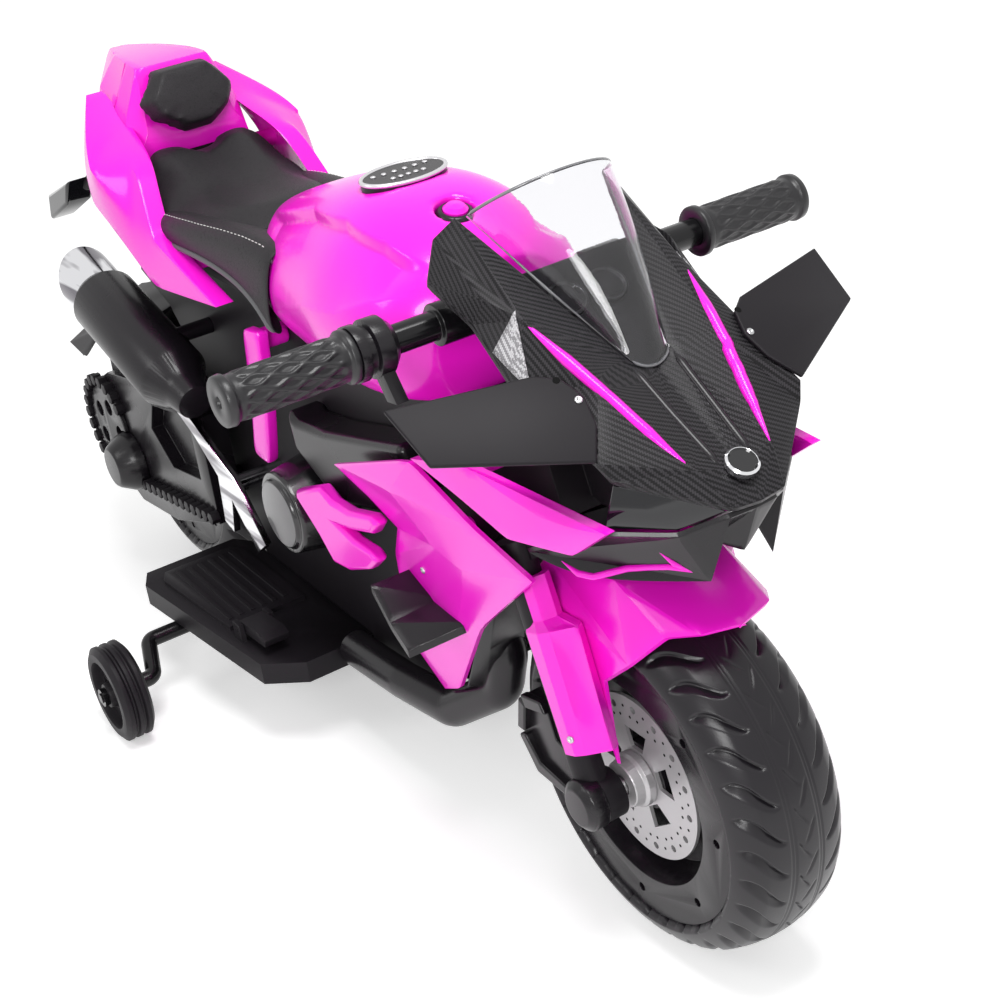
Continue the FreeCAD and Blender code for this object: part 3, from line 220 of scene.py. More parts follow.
moulded("pink_plastic", (0.95, 0.010, 0.64), 0.20, 0.06, 420.0, 0.00003, Coat_Weight=0.16,
        Coat_Roughness=0.06, Specular_IOR_Level=0.36)
moulded("black_matte", (0.0080, 0.0064, 0.0086), 0.50, 0.08, 1500.0, 0.00005, Specular_IOR_Level=0.20)
moulded("black_satin", (0.0066, 0.0052, 0.0072), 0.27, 0.10, 900.0, 0.00004, Specular_IOR_Level=0.38)
moulded("black_steel", (0.0045, 0.0042, 0.0050), 0.20, 0.08, 1200.0, 0.00002, Specular_IOR_Level=0.32)
moulded("tyre_rubber", (0.0100, 0.0084, 0.0110), 0.30, 0.10, 1100.0, 0.00004, Specular_IOR_Level=0.36)
moulded("grip_rubber", (0.0110, 0.0104, 0.0120), 0.34, 0.10, 1600.0, 0.00004, Specular_IOR_Level=0.48)
moulded("grey_paint", (0.46, 0.45, 0.46), 0.38, 0.10, 1300.0, 0.00003, Metallic=0.5)
moulded("steel", (0.52, 0.52, 0.53), 0.30, 0.12, 1500.0, 0.00002, Metallic=1.0)
moulded("lamp_glass", (0.006, 0.006, 0.008), 0.06, 0.03, 200.0, 0.00001, Coat_Weight=0.4, Specular_IOR_Level=0.3)
moulded("silver_trim", (0.66, 0.65, 0.67), 0.28, 0.08, 900.0, 0.00001, Metallic=0.8)
# Painted shade: near-black for flat discs that stand in for the shade inside holes.
moulded("dark_hole", (0.002, 0.002, 0.002), 0.70, 0.10, 900.0, 0.00002, Specular_IOR_Level=0.1)
# Grey for the bead on the clear screen's cut edge: painted in for the line of light and shade that edge shows.
moulded("screen_edge", (0.16, 0.16, 0.17), 0.15, 0.05, 500.0, 0.00001, Coat_Weight=0.5)


def polished():
    """Chrome plating: mirror-bright, with dark streaks of painted reflection in its colour, a little rougher there.
    """
    finish = Finish("chrome", (0.66, 0.66, 0.68), 0.08, Metallic=1.0)
    drawn = finish.vector("MULTIPLY", finish.spot(), (6.0, 60.0, 60.0))
    streak = finish.add("ShaderNodeTexNoise", {}, {"Vector": drawn, "Scale": 1.0, "Detail": 2.0})
    # Painted reflection: the stretched noise darkens the chrome's colour in streaks and makes it a little rougher
    # there.
    painted_reflection_streaks = ((streak - 0.47) * 9.0).clipped()
    finish.look("Base Color", finish.mix(painted_reflection_streaks, (0.74, 0.74, 0.76), (0.20, 0.19, 0.21)))
    finish.look("Roughness", 0.06 + 0.10 * painted_reflection_streaks)


polished()
print("plain finishes:", ", ".join(finishes))

# %% [markdown]
# ## Carbon weave
# The nose wears a printed two-by-two twill. Each facet carries its own flat UV map in metres, so the threads
# keep their true width and turn with the facet. A thread lies on top for two cells out of four, one cell
# further along on the next row, and that gives the slanting stripes.


# %% Twill finish
THREAD = 1.4 * MM


def twill(name, dark, light, roughness):
    """Woven threads that go over two and under two, each with an arched back. The threads on top are lighter: print
    of the weave, with a painted sheen that is brightest along their arched backs.
    """
    finish = Finish(name, dark, roughness, Coat_Weight=0.03, Coat_Roughness=0.12, Specular_IOR_Level=0.17)
    chart = finish.add("ShaderNodeUVMap", {"uv_map": "weave"}, {})
    across, along, _ = finish.split(chart)
    column, row = across / THREAD, along / THREAD
    on_top = ((column.floor() + row.floor()) % 4.0) < 2.0
    arch_across, arch_along = (abs((cell % 1.0) - 0.5) for cell in (column, row))
    arch = 1.0 - (on_top * arch_across + (1.0 - on_top) * arch_along) * 1.2
    # Print and painted sheen: threads on top are lighter, brightest along the crest of their arch.
    finish.look("Base Color", finish.mix(on_top * 0.75 * arch + 0.1, dark, light))
    finish.look("Roughness", roughness + 0.12 * on_top)
    finish.emboss(arch + on_top * 0.6, 0.00018, 0.6)


twill("carbon_weave", (0.003, 0.0028, 0.0033), (0.044, 0.041, 0.046), 0.32)
twill("silver_weave", (0.16, 0.155, 0.165), (0.66, 0.65, 0.67), 0.34)
print("weaves ready")

# %% [markdown]
# ## Clear screen and leather
# The screen is thin clear plastic that lets light through and mirrors the bright room. The seat is a
# leather-look cover: small cells with soft creases between them.


# %% Screen and leather finishes
def clear_plastic():
    """Thin glass-clear plastic with faint marks of handling."""
    finish = Finish("clear_plastic", (0.86, 0.86, 0.885), 0.03, Transmission_Weight=1.0, IOR=1.42)
    finish.look("Roughness", 0.02 + 0.03 * finish.noise(9.0))


def leather():
    """Leather-look cover with creases between small cells, painted darker in the creases as painted shade."""
    finish = Finish("seat_leather", (0.018, 0.0165, 0.0185), 0.5, Specular_IOR_Level=0.3)
    cells = finish.add("ShaderNodeTexVoronoi", {"feature": "DISTANCE_TO_EDGE"},
                       {"Vector": finish.spot(), "Scale": 520.0})
    crease = (cells * 9.0).clipped()
    # Painted shade: the colour darkens in the creases between the cells.
    finish.look("Base Color", finish.mix(crease, (0.007, 0.0062, 0.0074), (0.015, 0.0132, 0.0155)))
    finish.look("Roughness", 0.62 - 0.16 * crease)
    finish.emboss(crease + 0.4 * finish.noise(160.0), 0.00016, 0.7)


clear_plastic()
leather()
moulded("thread_white", (0.62, 0.62, 0.60), 0.75, 0.1, 1800.0, 0.00005)
moulded("piping_grey", (0.10, 0.10, 0.105), 0.50, 0.1, 900.0, 0.00005)
print("finishes:", len(finishes))

# %% [markdown]
# ## Two-tone round faces
# The round engine cover carries a grey lens inside a black rim, and the ring on the nose a black face inside
# chrome. Both are one moulding, so the tone changes with the distance from the piece's own axis.


# %% Two-tone finish
def two_tone(name, centre, axis, radius, inner, outer, roughness, metal):
    """Two colours that meet at a radius in mm about an axis."""
    finish = Finish(name, inner, roughness, Coat_Weight=0.3)
    cross = finish.vector("CROSS_PRODUCT", finish.vector("SUBTRACT", finish.spot(), at(*centre)), axis)
    rim = finish.vector("LENGTH", cross, out="Value") > radius * MM
    finish.look("Base Color", finish.mix(rim, inner, outer))
    finish.look("Metallic", rim * metal)
    finish.look("Roughness", roughness + 0.06 * finish.noise(14.0))


ENGINE_AT, EMBLEM_AT, EMBLEM_AXIS = (-12.0, 0.0, 240.0), (526.4, 0.0, 438.7), (0.484, 0.0, 0.875)
two_tone("engine_lens", ENGINE_AT, LEFT, 31.0, (0.050, 0.048, 0.053), (0.006, 0.0056, 0.0066), 0.2, 0.0)
two_tone("emblem_ring", EMBLEM_AT, EMBLEM_AXIS, 10.2, (0.006, 0.006, 0.007), (0.78, 0.78, 0.80), 0.12, 1.0)
print("two-tone faces ready")

# %% [markdown]
# ## Curved panels
# The solids are folded from flat facets, but the real mouldings flow. A copy of each panel gets its loose
# triangles joined and a subdivision surface: gentle bends become curves, true folds and rims are creased so
# that they stay, and a small bevel takes the knife edge off them.


def joined(node):
    """The solid's triangles merged into clean flat faces."""
    bm = bmesh.new()
    bm.from_mesh(nodes[node].data)
    bmesh.ops.remove_doubles(bm, verts=bm.verts, dist=0.02 * MM)
    bmesh.ops.dissolve_limit(bm, angle_limit=math.radians(0.5), verts=bm.verts, edges=bm.edges)
    return bm


def outward(bm):
    bmesh.ops.recalc_face_normals(bm, faces=bm.faces)


def laced(bm, rows, closed):
    """Faces between neighbouring rows of points."""
    for low, high in zip(rows, rows[1:]):
        for k in range(len(low) if closed else len(low) - 1):
            n = (k + 1) % len(low)
            bm.faces.new((low[k], low[n], high[n], high[k]))


def as_mesh(bm, name):
    mesh = bpy.data.meshes.new(name)
    bm.to_mesh(mesh)
    bm.free()
    mesh.shade_smooth()
    return mesh


def linked(name, data):
    piece = bpy.data.objects.new(name, data)
    bpy.context.scene.collection.objects.link(piece)
    return piece


def paint(mesh, finish):
    mesh.materials.clear()
    mesh.materials.append(finishes[finish])


def placed(name, mesh, finish, node):
    """A finished mesh as a piece that rides on the body of a node."""
    piece = linked(name, mesh)
    paint(mesh, finish)
    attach(piece, nodes[node]["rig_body"])
    return piece


def middle_of(node):
    low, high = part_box(node)
    return (Vector(low) + Vector(high)) / 2


def bends(bm):
    """Each inner edge with the angle between its two faces, in degrees."""
    return [(e, math.degrees(e.calc_face_angle(0))) for e in bm.edges if len(e.link_faces) == 2]


def add_bevel(piece, width, segments, angle):
    bevel = piece.modifiers.new("round", "BEVEL")
    bevel.limit_method = "ANGLE"
    bevel.angle_limit = math.radians(angle)
    bevel.width = width * MM
    bevel.segments = segments
    bevel.harden_normals = True


def add_wall(piece, thickness, offset):
    wall = piece.modifiers.new("wall", "SOLIDIFY")
    wall.thickness = thickness * MM
    wall.offset = offset


def add_curve(piece, levels):
    curve = piece.modifiers.new("curve", "SUBSURF")
    curve.levels = curve.render_levels = levels


def thickened(bm, extra):
    """Move the inner face of a side panel towards the middle of the bike."""
    def inward(face):
        return -face.normal.y * math.copysign(1, face.calc_center_median().y)

    inner = {v for face in bm.faces if inward(face) > 0.3 for v in face.verts}
    outer = {v for face in bm.faces if inward(face) < -0.3 for v in face.verts}
    for point in inner - outer:
        point.co.y -= math.copysign(extra * MM, point.co.y)


def broad_front(bm, extra):
    """Carry the inner front edge of a fork cover forward, so that it meets the arm of the fender."""
    ahead = Vector((math.cos(RAKE), 0, math.sin(RAKE)))
    along = Vector((-math.sin(RAKE), 0, math.cos(RAKE)))
    for point in bm.verts:
        arm = point.co - at(WHEEL_X, 0, AXLE_Z)
        if abs(point.co.y) < 72 * MM and arm.dot(ahead) > 15 * MM and arm.dot(along) < 143 * MM:
            point.co += ahead * extra * MM


RIM_ANGLE = 55


def curved(node, finish, fold, soft, rim=1.0, edge=0.9, reshape=thickened, extra=0.0):
    """Copy of a folded panel with flowing bends; folds past an angle and rims keep their crease."""
    bm = joined(node)
    bmesh.ops.connect_verts_concave(bm, faces=bm.faces)
    reshape(bm, extra)
    crease = bm.edges.layers.float.new("crease_edge")
    for side, bend in bends(bm):
        if bend > RIM_ANGLE:
            side[crease] = rim
        elif bend > fold:
            side[crease] = soft
            side.smooth = soft < 0.7
    piece = placed(node + "_skin", as_mesh(bm, node + "_skin"), finish, node)
    add_curve(piece, 3)
    add_bevel(piece, edge, 2, 30)
    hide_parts(node)
    return piece


# %% Folded panels
# Finish, nodes, and what curved takes: fold, soft, rim, edge, reshape and extra
PANELS = [
    ("pink_plastic", ["side_fairing_right", "side_fairing_left"], (5, 0.95)),
    ("pink_plastic", ["upper_blades"], (16, 0.75, 1.0, 1.2, thickened, 4.0)),
    ("pink_plastic", ["front_fender"], (9, 0.85, 1.0, 1.4)),
    ("pink_plastic", ["fork_covers"], (9, 0.85, 1.0, 1.6, broad_front, 11.0)),
    ("pink_plastic", ["tail_cover"], (20, 0.6, 1.0, 3.0)),
    ("pink_plastic", ["tail_pods"], (38, 0.5, 1.0, 3.2, thickened, 14.0)),
    ("pink_plastic", ["frame_struts"], (40, 0.3, 0.42)),
    ("carbon_weave", ["nose_cowl"], (4, 0.95)),
    ("black_satin", ["canards", "jaw"], (14, 0.8)),
    ("black_matte", ["rear_hugger"], (14, 0.7)),
]
panels = {n: curved(n, finish, *bend) for finish, names, bend in PANELS for n in names}
print("folded panels:", len(panels))

# %% [markdown]
# ## Rounded blocks
# Machined and boxy mouldings only need their edges broken. A bevel on every real edge does it, and the
# normals are hardened so that the flat faces stay flat.


# %% Blocks
def rounded(node, finish, width):
    """Copy of a boxy solid with broken edges that stands for it."""
    piece = placed(node + "_skin", as_mesh(joined(node), node + "_skin"), finish, node)
    add_bevel(piece, width, 3, 28)
    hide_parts(node)
    return piece


BLOCKS = [
    ("chrome", ["heel_brackets"], 1.8),
    ("black_satin", ["swingarms", "axle_covers", "calipers", "front_axle_caps", "throttle_housing",
                     "muffler", "front_rim", "rear_rim", "button_ring"], 1.2),
    ("engine_lens", ["engine_covers"], 1.2),
    ("black_matte", ["winglets", "chassis_right", "chassis_left", "seat_base", "foot_board_right",
                     "foot_board_left", "pedal", "training_wheel_right", "training_wheel_left", "drive_chains",
                     "steering_fork", "indicators"], 1.4),
    ("black_steel", ["handlebar"], 1.0),
    ("black_satin", ["sprockets"], 0.8),
    ("lamp_glass", ["headlights"], 0.8),
]
blocks = {n: rounded(n, finish, width) for finish, names, width in BLOCKS for n in names}
print("rounded blocks:", len(blocks))

# %% Solids that keep their own surface
KEPT = {
    "pink_plastic": ["push_button"],
    "black_satin": ["tank_panel", "belly_tubes"],
    "black_steel": ["training_arms"],
    "black_matte": ["battery", "motor_gearbox"],
    "clear_plastic": ["windscreen"],
    "chrome": ["muffler_tip"],
    "emblem_ring": ["emblem"],
    "steel": ["front_axle", "rear_axle"],
    "grey_paint": ["brake_discs"],
}
for finish, names in KEPT.items():
    for name in names:
        paint(nodes[name].data, finish)
print("kept solids:", sum(len(names) for names in KEPT.values()))

# %% [markdown]
# ## Weave maps
# The carbon threads need a flat chart on every facet: one axis runs level across the facet, the other up its
# slope, both in metres.


# %% Flat charts in metres
def chart_facets(mesh):
    """Flat map of every face, level across and up its slope."""
    layer = mesh.uv_layers.new(name="weave")
    for face in mesh.polygons:
        level = UP.cross(face.normal)
        level = level.normalized() if level.length > 0.1 else LEFT
        rise = face.normal.cross(level)
        for loop in face.loop_indices:
            point = mesh.vertices[mesh.loops[loop].vertex_index].co
            layer.data[loop].uv = (point.dot(level), point.dot(rise))


chart_facets(panels["nose_cowl"].data)
print("nose charts:", len(panels["nose_cowl"].data.polygons))

# %% [markdown]
# ## Geometry recipes
# Treads, grip ribs, stitches, screws and beads all repeat or follow a path, which is what Geometry Nodes are
# for. A recipe is a tree with named inputs. It runs once on a base mesh, and the plain mesh that comes out
# is kept as the piece.


# %% A recipe and what it needs
class Recipe(Tree):
    """A geometry tree with named inputs."""

    KINDS = {float: "NodeSocketFloat", int: "NodeSocketInt"}

    def __init__(self, name, **inputs):
        group = bpy.data.node_groups.new(name, "GeometryNodeTree")
        super().__init__(group)
        group.interface.new_socket("Geometry", in_out="INPUT", socket_type="NodeSocketGeometry")
        group.interface.new_socket("Geometry", in_out="OUTPUT", socket_type="NodeSocketGeometry")
        self.values = {}
        for key, value in inputs.items():
            socket = group.interface.new_socket(key, in_out="INPUT", socket_type=self.KINDS[type(value)])
            self.values[socket.identifier] = value
        self.entry = group.nodes.new("NodeGroupInput")
        self.exit = group.nodes.new("NodeGroupOutput")

    def given(self, name):
        return Flow(self, self.entry.outputs[name])

    def carried(self, name, kind="FLOAT"):
        """A value that the base mesh carries at each point."""
        return self.add("GeometryNodeInputNamedAttribute", {"data_type": kind}, {"Name": name})

    def run(self, name, base, result, finish, node):
        """Close the tree, run it on the base mesh and place the plain mesh that comes out."""
        whole = self.add("GeometryNodeRealizeInstances", {}, {"Geometry": result})
        painted = self.add("GeometryNodeSetMaterial", {}, {"Geometry": whole, "Material": finishes[finish]})
        self.put(self.exit.inputs["Geometry"], painted)
        carrier = linked(name + "_base", base)
        step = carrier.modifiers.new(name, "NODES")
        step.node_group = self.tree
        for identifier, value in self.values.items():
            step[identifier] = value
        mesh = settled(carrier)
        carrier.modifiers.clear()
        bpy.data.objects.remove(carrier)
        mesh.shade_smooth()
        return placed(name, mesh, finish, node)


def settled(piece):
    """The plain mesh that a piece's modifiers give."""
    bpy.context.view_layer.update()
    return bpy.data.meshes.new_from_object(piece.evaluated_get(bpy.context.evaluated_depsgraph_get()))


def carry(mesh, name, kind, values):
    """Store a value for each point of a mesh."""
    field = "vector" if kind == "FLOAT_VECTOR" else "value"
    mesh.attributes.new(name, kind, "POINT").data.foreach_set(field, np.ravel(values).astype(float))


print("recipes ready")

# %% [markdown]
# ## Tyres
# Each tyre is one moulding with a rounded crown. Thirty-two flame-shaped pockets lean over each shoulder, with a
# steep wall on one side and a floor that climbs out on the other. Small leaves cross the crown between two pairs
# of fine lines. The smooth tyre is turned from its section, with columns that lean like the pockets; the recipe
# then presses the pattern in, so nothing grows past the solid.


# %% Turned base meshes
def arc(start, middle, end, count):
    """Points on the circle through three points."""
    a, b, c = (Vector(p) for p in (start, middle, end))
    u, v = b - a, c - a
    across = u.cross(v)
    centre = a + (across.cross(u) * v.length_squared + v.cross(across) * u.length_squared) / (
        2 * across.length_squared)
    arm = a - centre
    step = arm.angle(c - centre) / count
    return [centre + Matrix.Rotation(step * k, 3, across.normalized()) @ arm for k in range(count + 1)]


def turned(name, section, centre, columns, closed, lead=0.0):
    """Mesh turned about an axis along Y from pairs of place along it and radius, all in mm.

    The lead is the part of a turn by which each place of the section runs ahead."""
    turns = np.arange(columns) / columns
    along = np.array([p[0] for p in section])
    radius = np.array([p[1] for p in section])
    angle = 2 * np.pi * (turns[None, :] + np.broadcast_to(lead, along.shape)[:, None])
    x = centre[0] + radius[:, None] * np.cos(angle)
    z = centre[2] + radius[:, None] * np.sin(angle)
    y = np.broadcast_to(centre[1] + along[:, None], x.shape)
    rows = len(section)
    faces = []
    for r in range(rows if closed else rows - 1):
        for c in range(columns):
            n, s = (r + 1) % rows, (c + 1) % columns
            faces.append((r * columns + c, n * columns + c, n * columns + s, r * columns + s))
    mesh = bpy.data.meshes.new(name)
    mesh.from_pydata(np.stack([x, y, z], -1).reshape(-1, 3) * MM, [], faces)
    carry(mesh, "turn", "FLOAT", np.broadcast_to(turns[None, :], x.shape))
    carry(mesh, "along", "FLOAT", np.broadcast_to(along[:, None], x.shape))
    bm = bmesh.new()
    bm.from_mesh(mesh)
    outward(bm)
    bm.to_mesh(mesh)
    bm.free()
    return mesh


print("turning ready")


# %% Tread recipe
def pressed_in(recipe, depth):
    """The base mesh pressed in along its normals by a depth in mm."""
    inward = recipe.add("ShaderNodeVectorMath", {"operation": "SCALE"},
                        {0: recipe.add("GeometryNodeInputNormal", {}, {}), "Scale": depth * -MM})
    return recipe.add("GeometryNodeSetPosition", {}, {"Geometry": recipe.given("Geometry"), "Offset": inward})


def eased(share):
    """Smooth step of a share that is cut to 0 and 1."""
    share = share.clipped()
    return share * share * (3.0 - share * 2.0)


TURN = 2 * math.pi
POCKETS, SWEEP = 32.0, 0.95
TREAD_EDGE, SWEEP_EDGE, TREAD_CROWN = 48.0, 44.0, 16.0
LEAF_START, LEAF_LENGTH, LEAF_SWEEP, LEAF_WIDTH, LEAF_SHIFT = 10.0, 14.0, 0.74, 0.2, 0.07
LINES_AT = (11.5, 14.0)


def pocket(phase, width):
    """Depth share of a pocket with a steep wall at half a turn of its phase and a floor that climbs away."""
    share = (0.5 - phase) / width.most(0.02)
    return eased(share * 6.0) * ((1.0 - share).clipped() ** 1.1) * (width * 6.0).clipped()


def tread():
    """Flame-shaped pockets from the shoulder to the crown, small leaves on it and two grooves round it."""
    recipe = Recipe("tyre_tread", Pockets=POCKETS, Depth=5.0, Width=0.50, Leaf=1.6, Line=1.0)
    along = recipe.carried("along")
    side = abs(along)
    lanes = recipe.carried("turn") * recipe.given("Pockets")
    reach = ((TREAD_EDGE - side) / (TREAD_EDGE - TREAD_CROWN)).clipped()
    width = ((reach ** 0.71) * math.pi).sine() * recipe.given("Width")
    depth = pocket((lanes + (along > 0.0) * 0.5) % 1.0, width) * eased(reach * 7.0) * recipe.given("Depth")
    for hand, step in ((-1.0, 0.0), (1.0, 0.5)):
        across = ((LEAF_START - along * hand) / LEAF_LENGTH).clipped()
        leaf = pocket((lanes + across * LEAF_SWEEP + (LEAF_SHIFT + step)) % 1.0,
                      (across * math.pi).sine() * LEAF_WIDTH)
        depth = depth.most(leaf * recipe.given("Leaf"))
    first, second = ((1.0 - abs(side - place)).clipped() for place in LINES_AT)
    return recipe, pressed_in(recipe, depth.most(first.most(second) * recipe.given("Line")))


def swept(section):
    """Lead of each place of a tyre's section, so that the mesh's columns follow the pockets."""
    share = np.clip([(abs(y) - TREAD_CROWN) / (SWEEP_EDGE - TREAD_CROWN) for y, _ in section], 0, 1)
    return SWEEP / POCKETS * share ** 2 * (3 - 2 * share)


TYRE_R, TYRE_H, TYRE_HALF, RIM_HALF = 150.0, 32.0, 50.0, 45.0


def tyre_section():
    """Arc for the crown between two mirrored arcs for shoulder and wall."""
    right, knee, shoulder, wall = [(side * TYRE_HALF, TYRE_R - TYRE_H * drop, 0.0) for side, drop in (
        (-0.64, 0.17), (0.64, 0.17), (0.88, 0.48), (1.0, 0.87))]
    crown = [(p.x, p.y) for p in arc(right, (0.0, TYRE_R, 0.0), knee, 64)]
    left = [(p.x, p.y) for p in arc(knee, shoulder, wall, 16)[1:]] + [(RIM_HALF, TYRE_R - TYRE_H)]
    return [(-y, r) for y, r in reversed(left)] + crown + left


for node, wheel_x in (("front_tyre", WHEEL_X), ("rear_tyre", -WHEEL_X)):
    recipe, result = tread()
    section = tyre_section()
    base = turned(node + "_turned", section, (wheel_x, 0.0, AXLE_Z), columns=640, closed=True, lead=swept(section))
    tyre = recipe.run(node + "_treaded", base, result, "tyre_rubber", node)
    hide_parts(node)
    print(tyre.name, "faces", len(tyre.data.polygons))

# %% [markdown]
# ## Grips
# Both grips are rubber sleeves. Rows of ribs wander along them and meet their neighbours again and again, so
# that long lozenges stand between them. The ribs are two families of waves in opposite step, raised on a
# turned sleeve with a flange at each end.


# %% Rib recipe
RIBS_FROM, RIBS_TO = 165.0, 243.0


def grip_ribs():
    """Two families of waves whose crossings leave lozenges."""
    recipe = Recipe("grip_ribs", Waves=10.0, Pitch=25.0, Height=1.5)
    along = abs(recipe.carried("along"))
    sway = (along * TURN / recipe.given("Pitch")).sine() * 0.16
    lanes = recipe.carried("turn") * recipe.given("Waves")
    first = abs(((lanes + sway) % 1.0) - 0.5)
    second = abs(((lanes + 0.5 - sway) % 1.0) - 0.5)
    rib = ((first.most(second) - 0.30) / 0.14).clipped()
    band = ((along - RIBS_FROM) / 4.0).clipped() * ((RIBS_TO - along) / 4.0).clipped()
    return recipe, pressed_in(recipe, band * (0.9 - rib * recipe.given("Height")))


def grip_section(hand):
    """Flange, long sleeve in short steps, flange and hollow end."""
    body = [(162.0 + 0.8 * k, 17.0) for k in range(106)]
    section = [(154.0, 11.2), (154.0, 19.4), (155.0, 20.0), (158.6, 20.0), (159.6, 19.2), (160.4, 17.0)] + body
    section += [(248.0, 17.0), (249.0, 18.6), (250.0, 19.0), (255.0, 18.4), (256.0, 17.4), (256.0, 5.0),
                (255.2, 4.2), (250.0, 4.0), (250.0, 0.05)]
    return [(along * hand, radius) for along, radius in section]


for node, hand in (("throttle_grip", -1), ("grip_left", 1)):
    x, _, z = middle_of(node) / MM
    recipe, result = grip_ribs()
    base = turned(node + "_turned", grip_section(hand), (x, 0.0, z), columns=132, closed=False)
    grip = recipe.run(node + "_ribbed", base, result, "grip_rubber", node)
    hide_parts(node)
    print(grip.name, "faces", len(grip.data.polygons))

# %% [markdown]
# ## Stuffed seat and back pad
# The seat and the back pad are foam under a sewn cover. A block would look hard, so each is made the way the
# real one gets its shape: a slightly small cover is blown up from inside for twenty frames of cloth. Points
# may move only a few millimetres, which keeps the pad in the room that its solid holds.


# %% Stuffing a cover
def stuffed(node, voxel, shrink, cap, finish, reshape):
    """Cover of a padded node, pulled to its sewn shape and blown up."""
    bm = joined(node)
    outward(bm)
    centre = middle_of(node)
    for point in bm.verts:
        away = point.co - centre
        point.co -= away.normalized() * shrink * MM
        reshape(point.co, centre)
    cover = placed(node + "_padded", as_mesh(bm, node + "_cover"), finish, node)
    make_even(cover, voxel, 4)
    blow_up(cover, cap)
    add_curve(cover, 1)
    swap_mesh(cover, settled(cover))
    cover.data.shade_smooth()
    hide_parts(node)
    return cover


def swap_mesh(piece, mesh):
    piece.modifiers.clear()
    piece.data = mesh


def make_even(piece, voxel, rounds):
    """Replace a piece's mesh by an even net of small faces, smoothed a few rounds."""
    remesh = piece.modifiers.new("even", "REMESH")
    remesh.mode = "VOXEL"
    remesh.voxel_size = voxel * MM
    ease = piece.modifiers.new("ease", "SMOOTH")
    ease.factor = 0.5
    ease.iterations = rounds
    swap_mesh(piece, settled(piece))


def points_of(mesh):
    return np.array([v.co[:] for v in mesh.vertices])


COVER = {"use_pressure": True, "uniform_pressure_force": 4.0, "tension_stiffness": 12.0,
         "compression_stiffness": 12.0, "bending_stiffness": 0.4}


def blow_up(cover, cap):
    """Twenty frames of cloth with air inside; no point moves further than the cap."""
    start = points_of(cover.data)
    cloth = cover.modifiers.new("stuffing", "CLOTH")
    cloth.settings.effector_weights.gravity = 0.0
    for key, value in COVER.items():
        setattr(cloth.settings, key, value)
    for frame_number in range(1, 21):
        bpy.context.scene.frame_set(frame_number)
    mesh = settled(cover)
    bpy.context.scene.frame_set(1)
    move = points_of(mesh) - start
    length = np.maximum(np.linalg.norm(move, axis=1), 1e-9)
    move *= np.minimum(1.0, cap * MM / length)[:, None]
    mesh.vertices.foreach_set("co", (start + move).ravel())
    swap_mesh(cover, mesh)


def square_rear(spot, _):
    """Pull the rear corners of the seat out and up."""
    share = np.interp(spot.x / MM, [-290, -250, -205], [1.0, 0.35, 0.0])
    if spot.z > 460 * MM:
        spot.z += 24 * MM * share * min(1.0, abs(spot.y) / (50 * MM))
    spot.y *= 1.0 + 0.24 * share


def deeper(spot, centre):
    """Make the pad broader and its front prouder."""
    spot.x += (8 if spot.x > centre.x else 2) * MM
    spot.y *= 1.14
    spot.z = centre.z + (spot.z - centre.z) * 1.05


seat = stuffed("seat_cushion", 5.0, 4.0, 6.0, "seat_leather", square_rear)
back_pad = stuffed("back_pad", 3.0, 2.0, 3.0, "seat_leather", deeper)
print("padded:", seat.name, len(seat.data.vertices), back_pad.name, len(back_pad.data.vertices))

# %% [markdown]
# ## Paths that cling to a skin
# Stitches, piping and painted-on strips follow a surface. A path is given by a few corner points; it is cut
# into short steps and every step drops onto the nearest skin, so the trim cannot float or sink.


# %% Clinging paths
def skin_of(piece):
    bpy.context.view_layer.update()
    return BVHTree.FromObject(piece, bpy.context.evaluated_depsgraph_get())


def clinging(skin, corners, step, lift):
    """Steps along a path in mm, each with its place and the skin's outward direction, in metres."""
    corners = [at(*c) for c in corners]
    spots = []
    for a, b in zip(corners, corners[1:]):
        count = max(1, round((b - a).length / (step * MM)))
        spots += [a.lerp(b, k / count) for k in range(count)]
    found = [skin.find_nearest(p) for p in spots + [corners[-1]]]
    return [(place + facing * lift * MM, facing) for place, facing, _, _ in found]


def smooth_path(corners):
    """Corner points cut back twice, so that the path bends softly."""
    points = [Vector(c) for c in corners]
    for _ in range(2):
        cut = [points[0]]
        for a, b in zip(points, points[1:]):
            cut += [a.lerp(b, 0.25), a.lerp(b, 0.75)]
        points = cut + [points[-1]]
    return points


# %% Bead recipe
def bead(name, paths, radius, finish, node, ends, closed=False):
    """Round bead along paths of places, thinner towards open ends."""
    places, edges, swell = [], [], []
    for path in paths:
        first, last = len(places), len(path) - 1
        places += [spot for spot, _ in path]
        edges += [(first + k, first + k + 1) for k in range(last)] + ([(first + last, first)] if closed else [])
        fade = max(1, round(last * ends))
        swell += [1.0 if closed else min(1.0, 0.08 + min(k, last - k) / fade) for k in range(last + 1)]
    base = bpy.data.meshes.new(name)
    base.from_pydata(places, edges, [])
    carry(base, "swell", "FLOAT", swell)
    recipe = Recipe(name, Radius=radius * MM)
    line = recipe.add("GeometryNodeMeshToCurve", {}, {"Mesh": recipe.given("Geometry")})
    ring = recipe.add("GeometryNodeCurvePrimitiveCircle", {}, {"Resolution": 10, "Radius": recipe.given("Radius")})
    tube = recipe.add("GeometryNodeCurveToMesh", {}, {"Curve": line, "Profile Curve": ring,
                                                      "Scale": recipe.carried("swell"), "Fill Caps": True})
    return recipe.run(name, base, tube, finish, node)


print("paths and beads ready")

# %% [markdown]
# ## Small stamped shapes
# Screws, stitches and keys are tiny shapes that repeat. Each is turned once with a few dozen faces, and a
# recipe sets copies of it on spots that know which way they face and where they head.


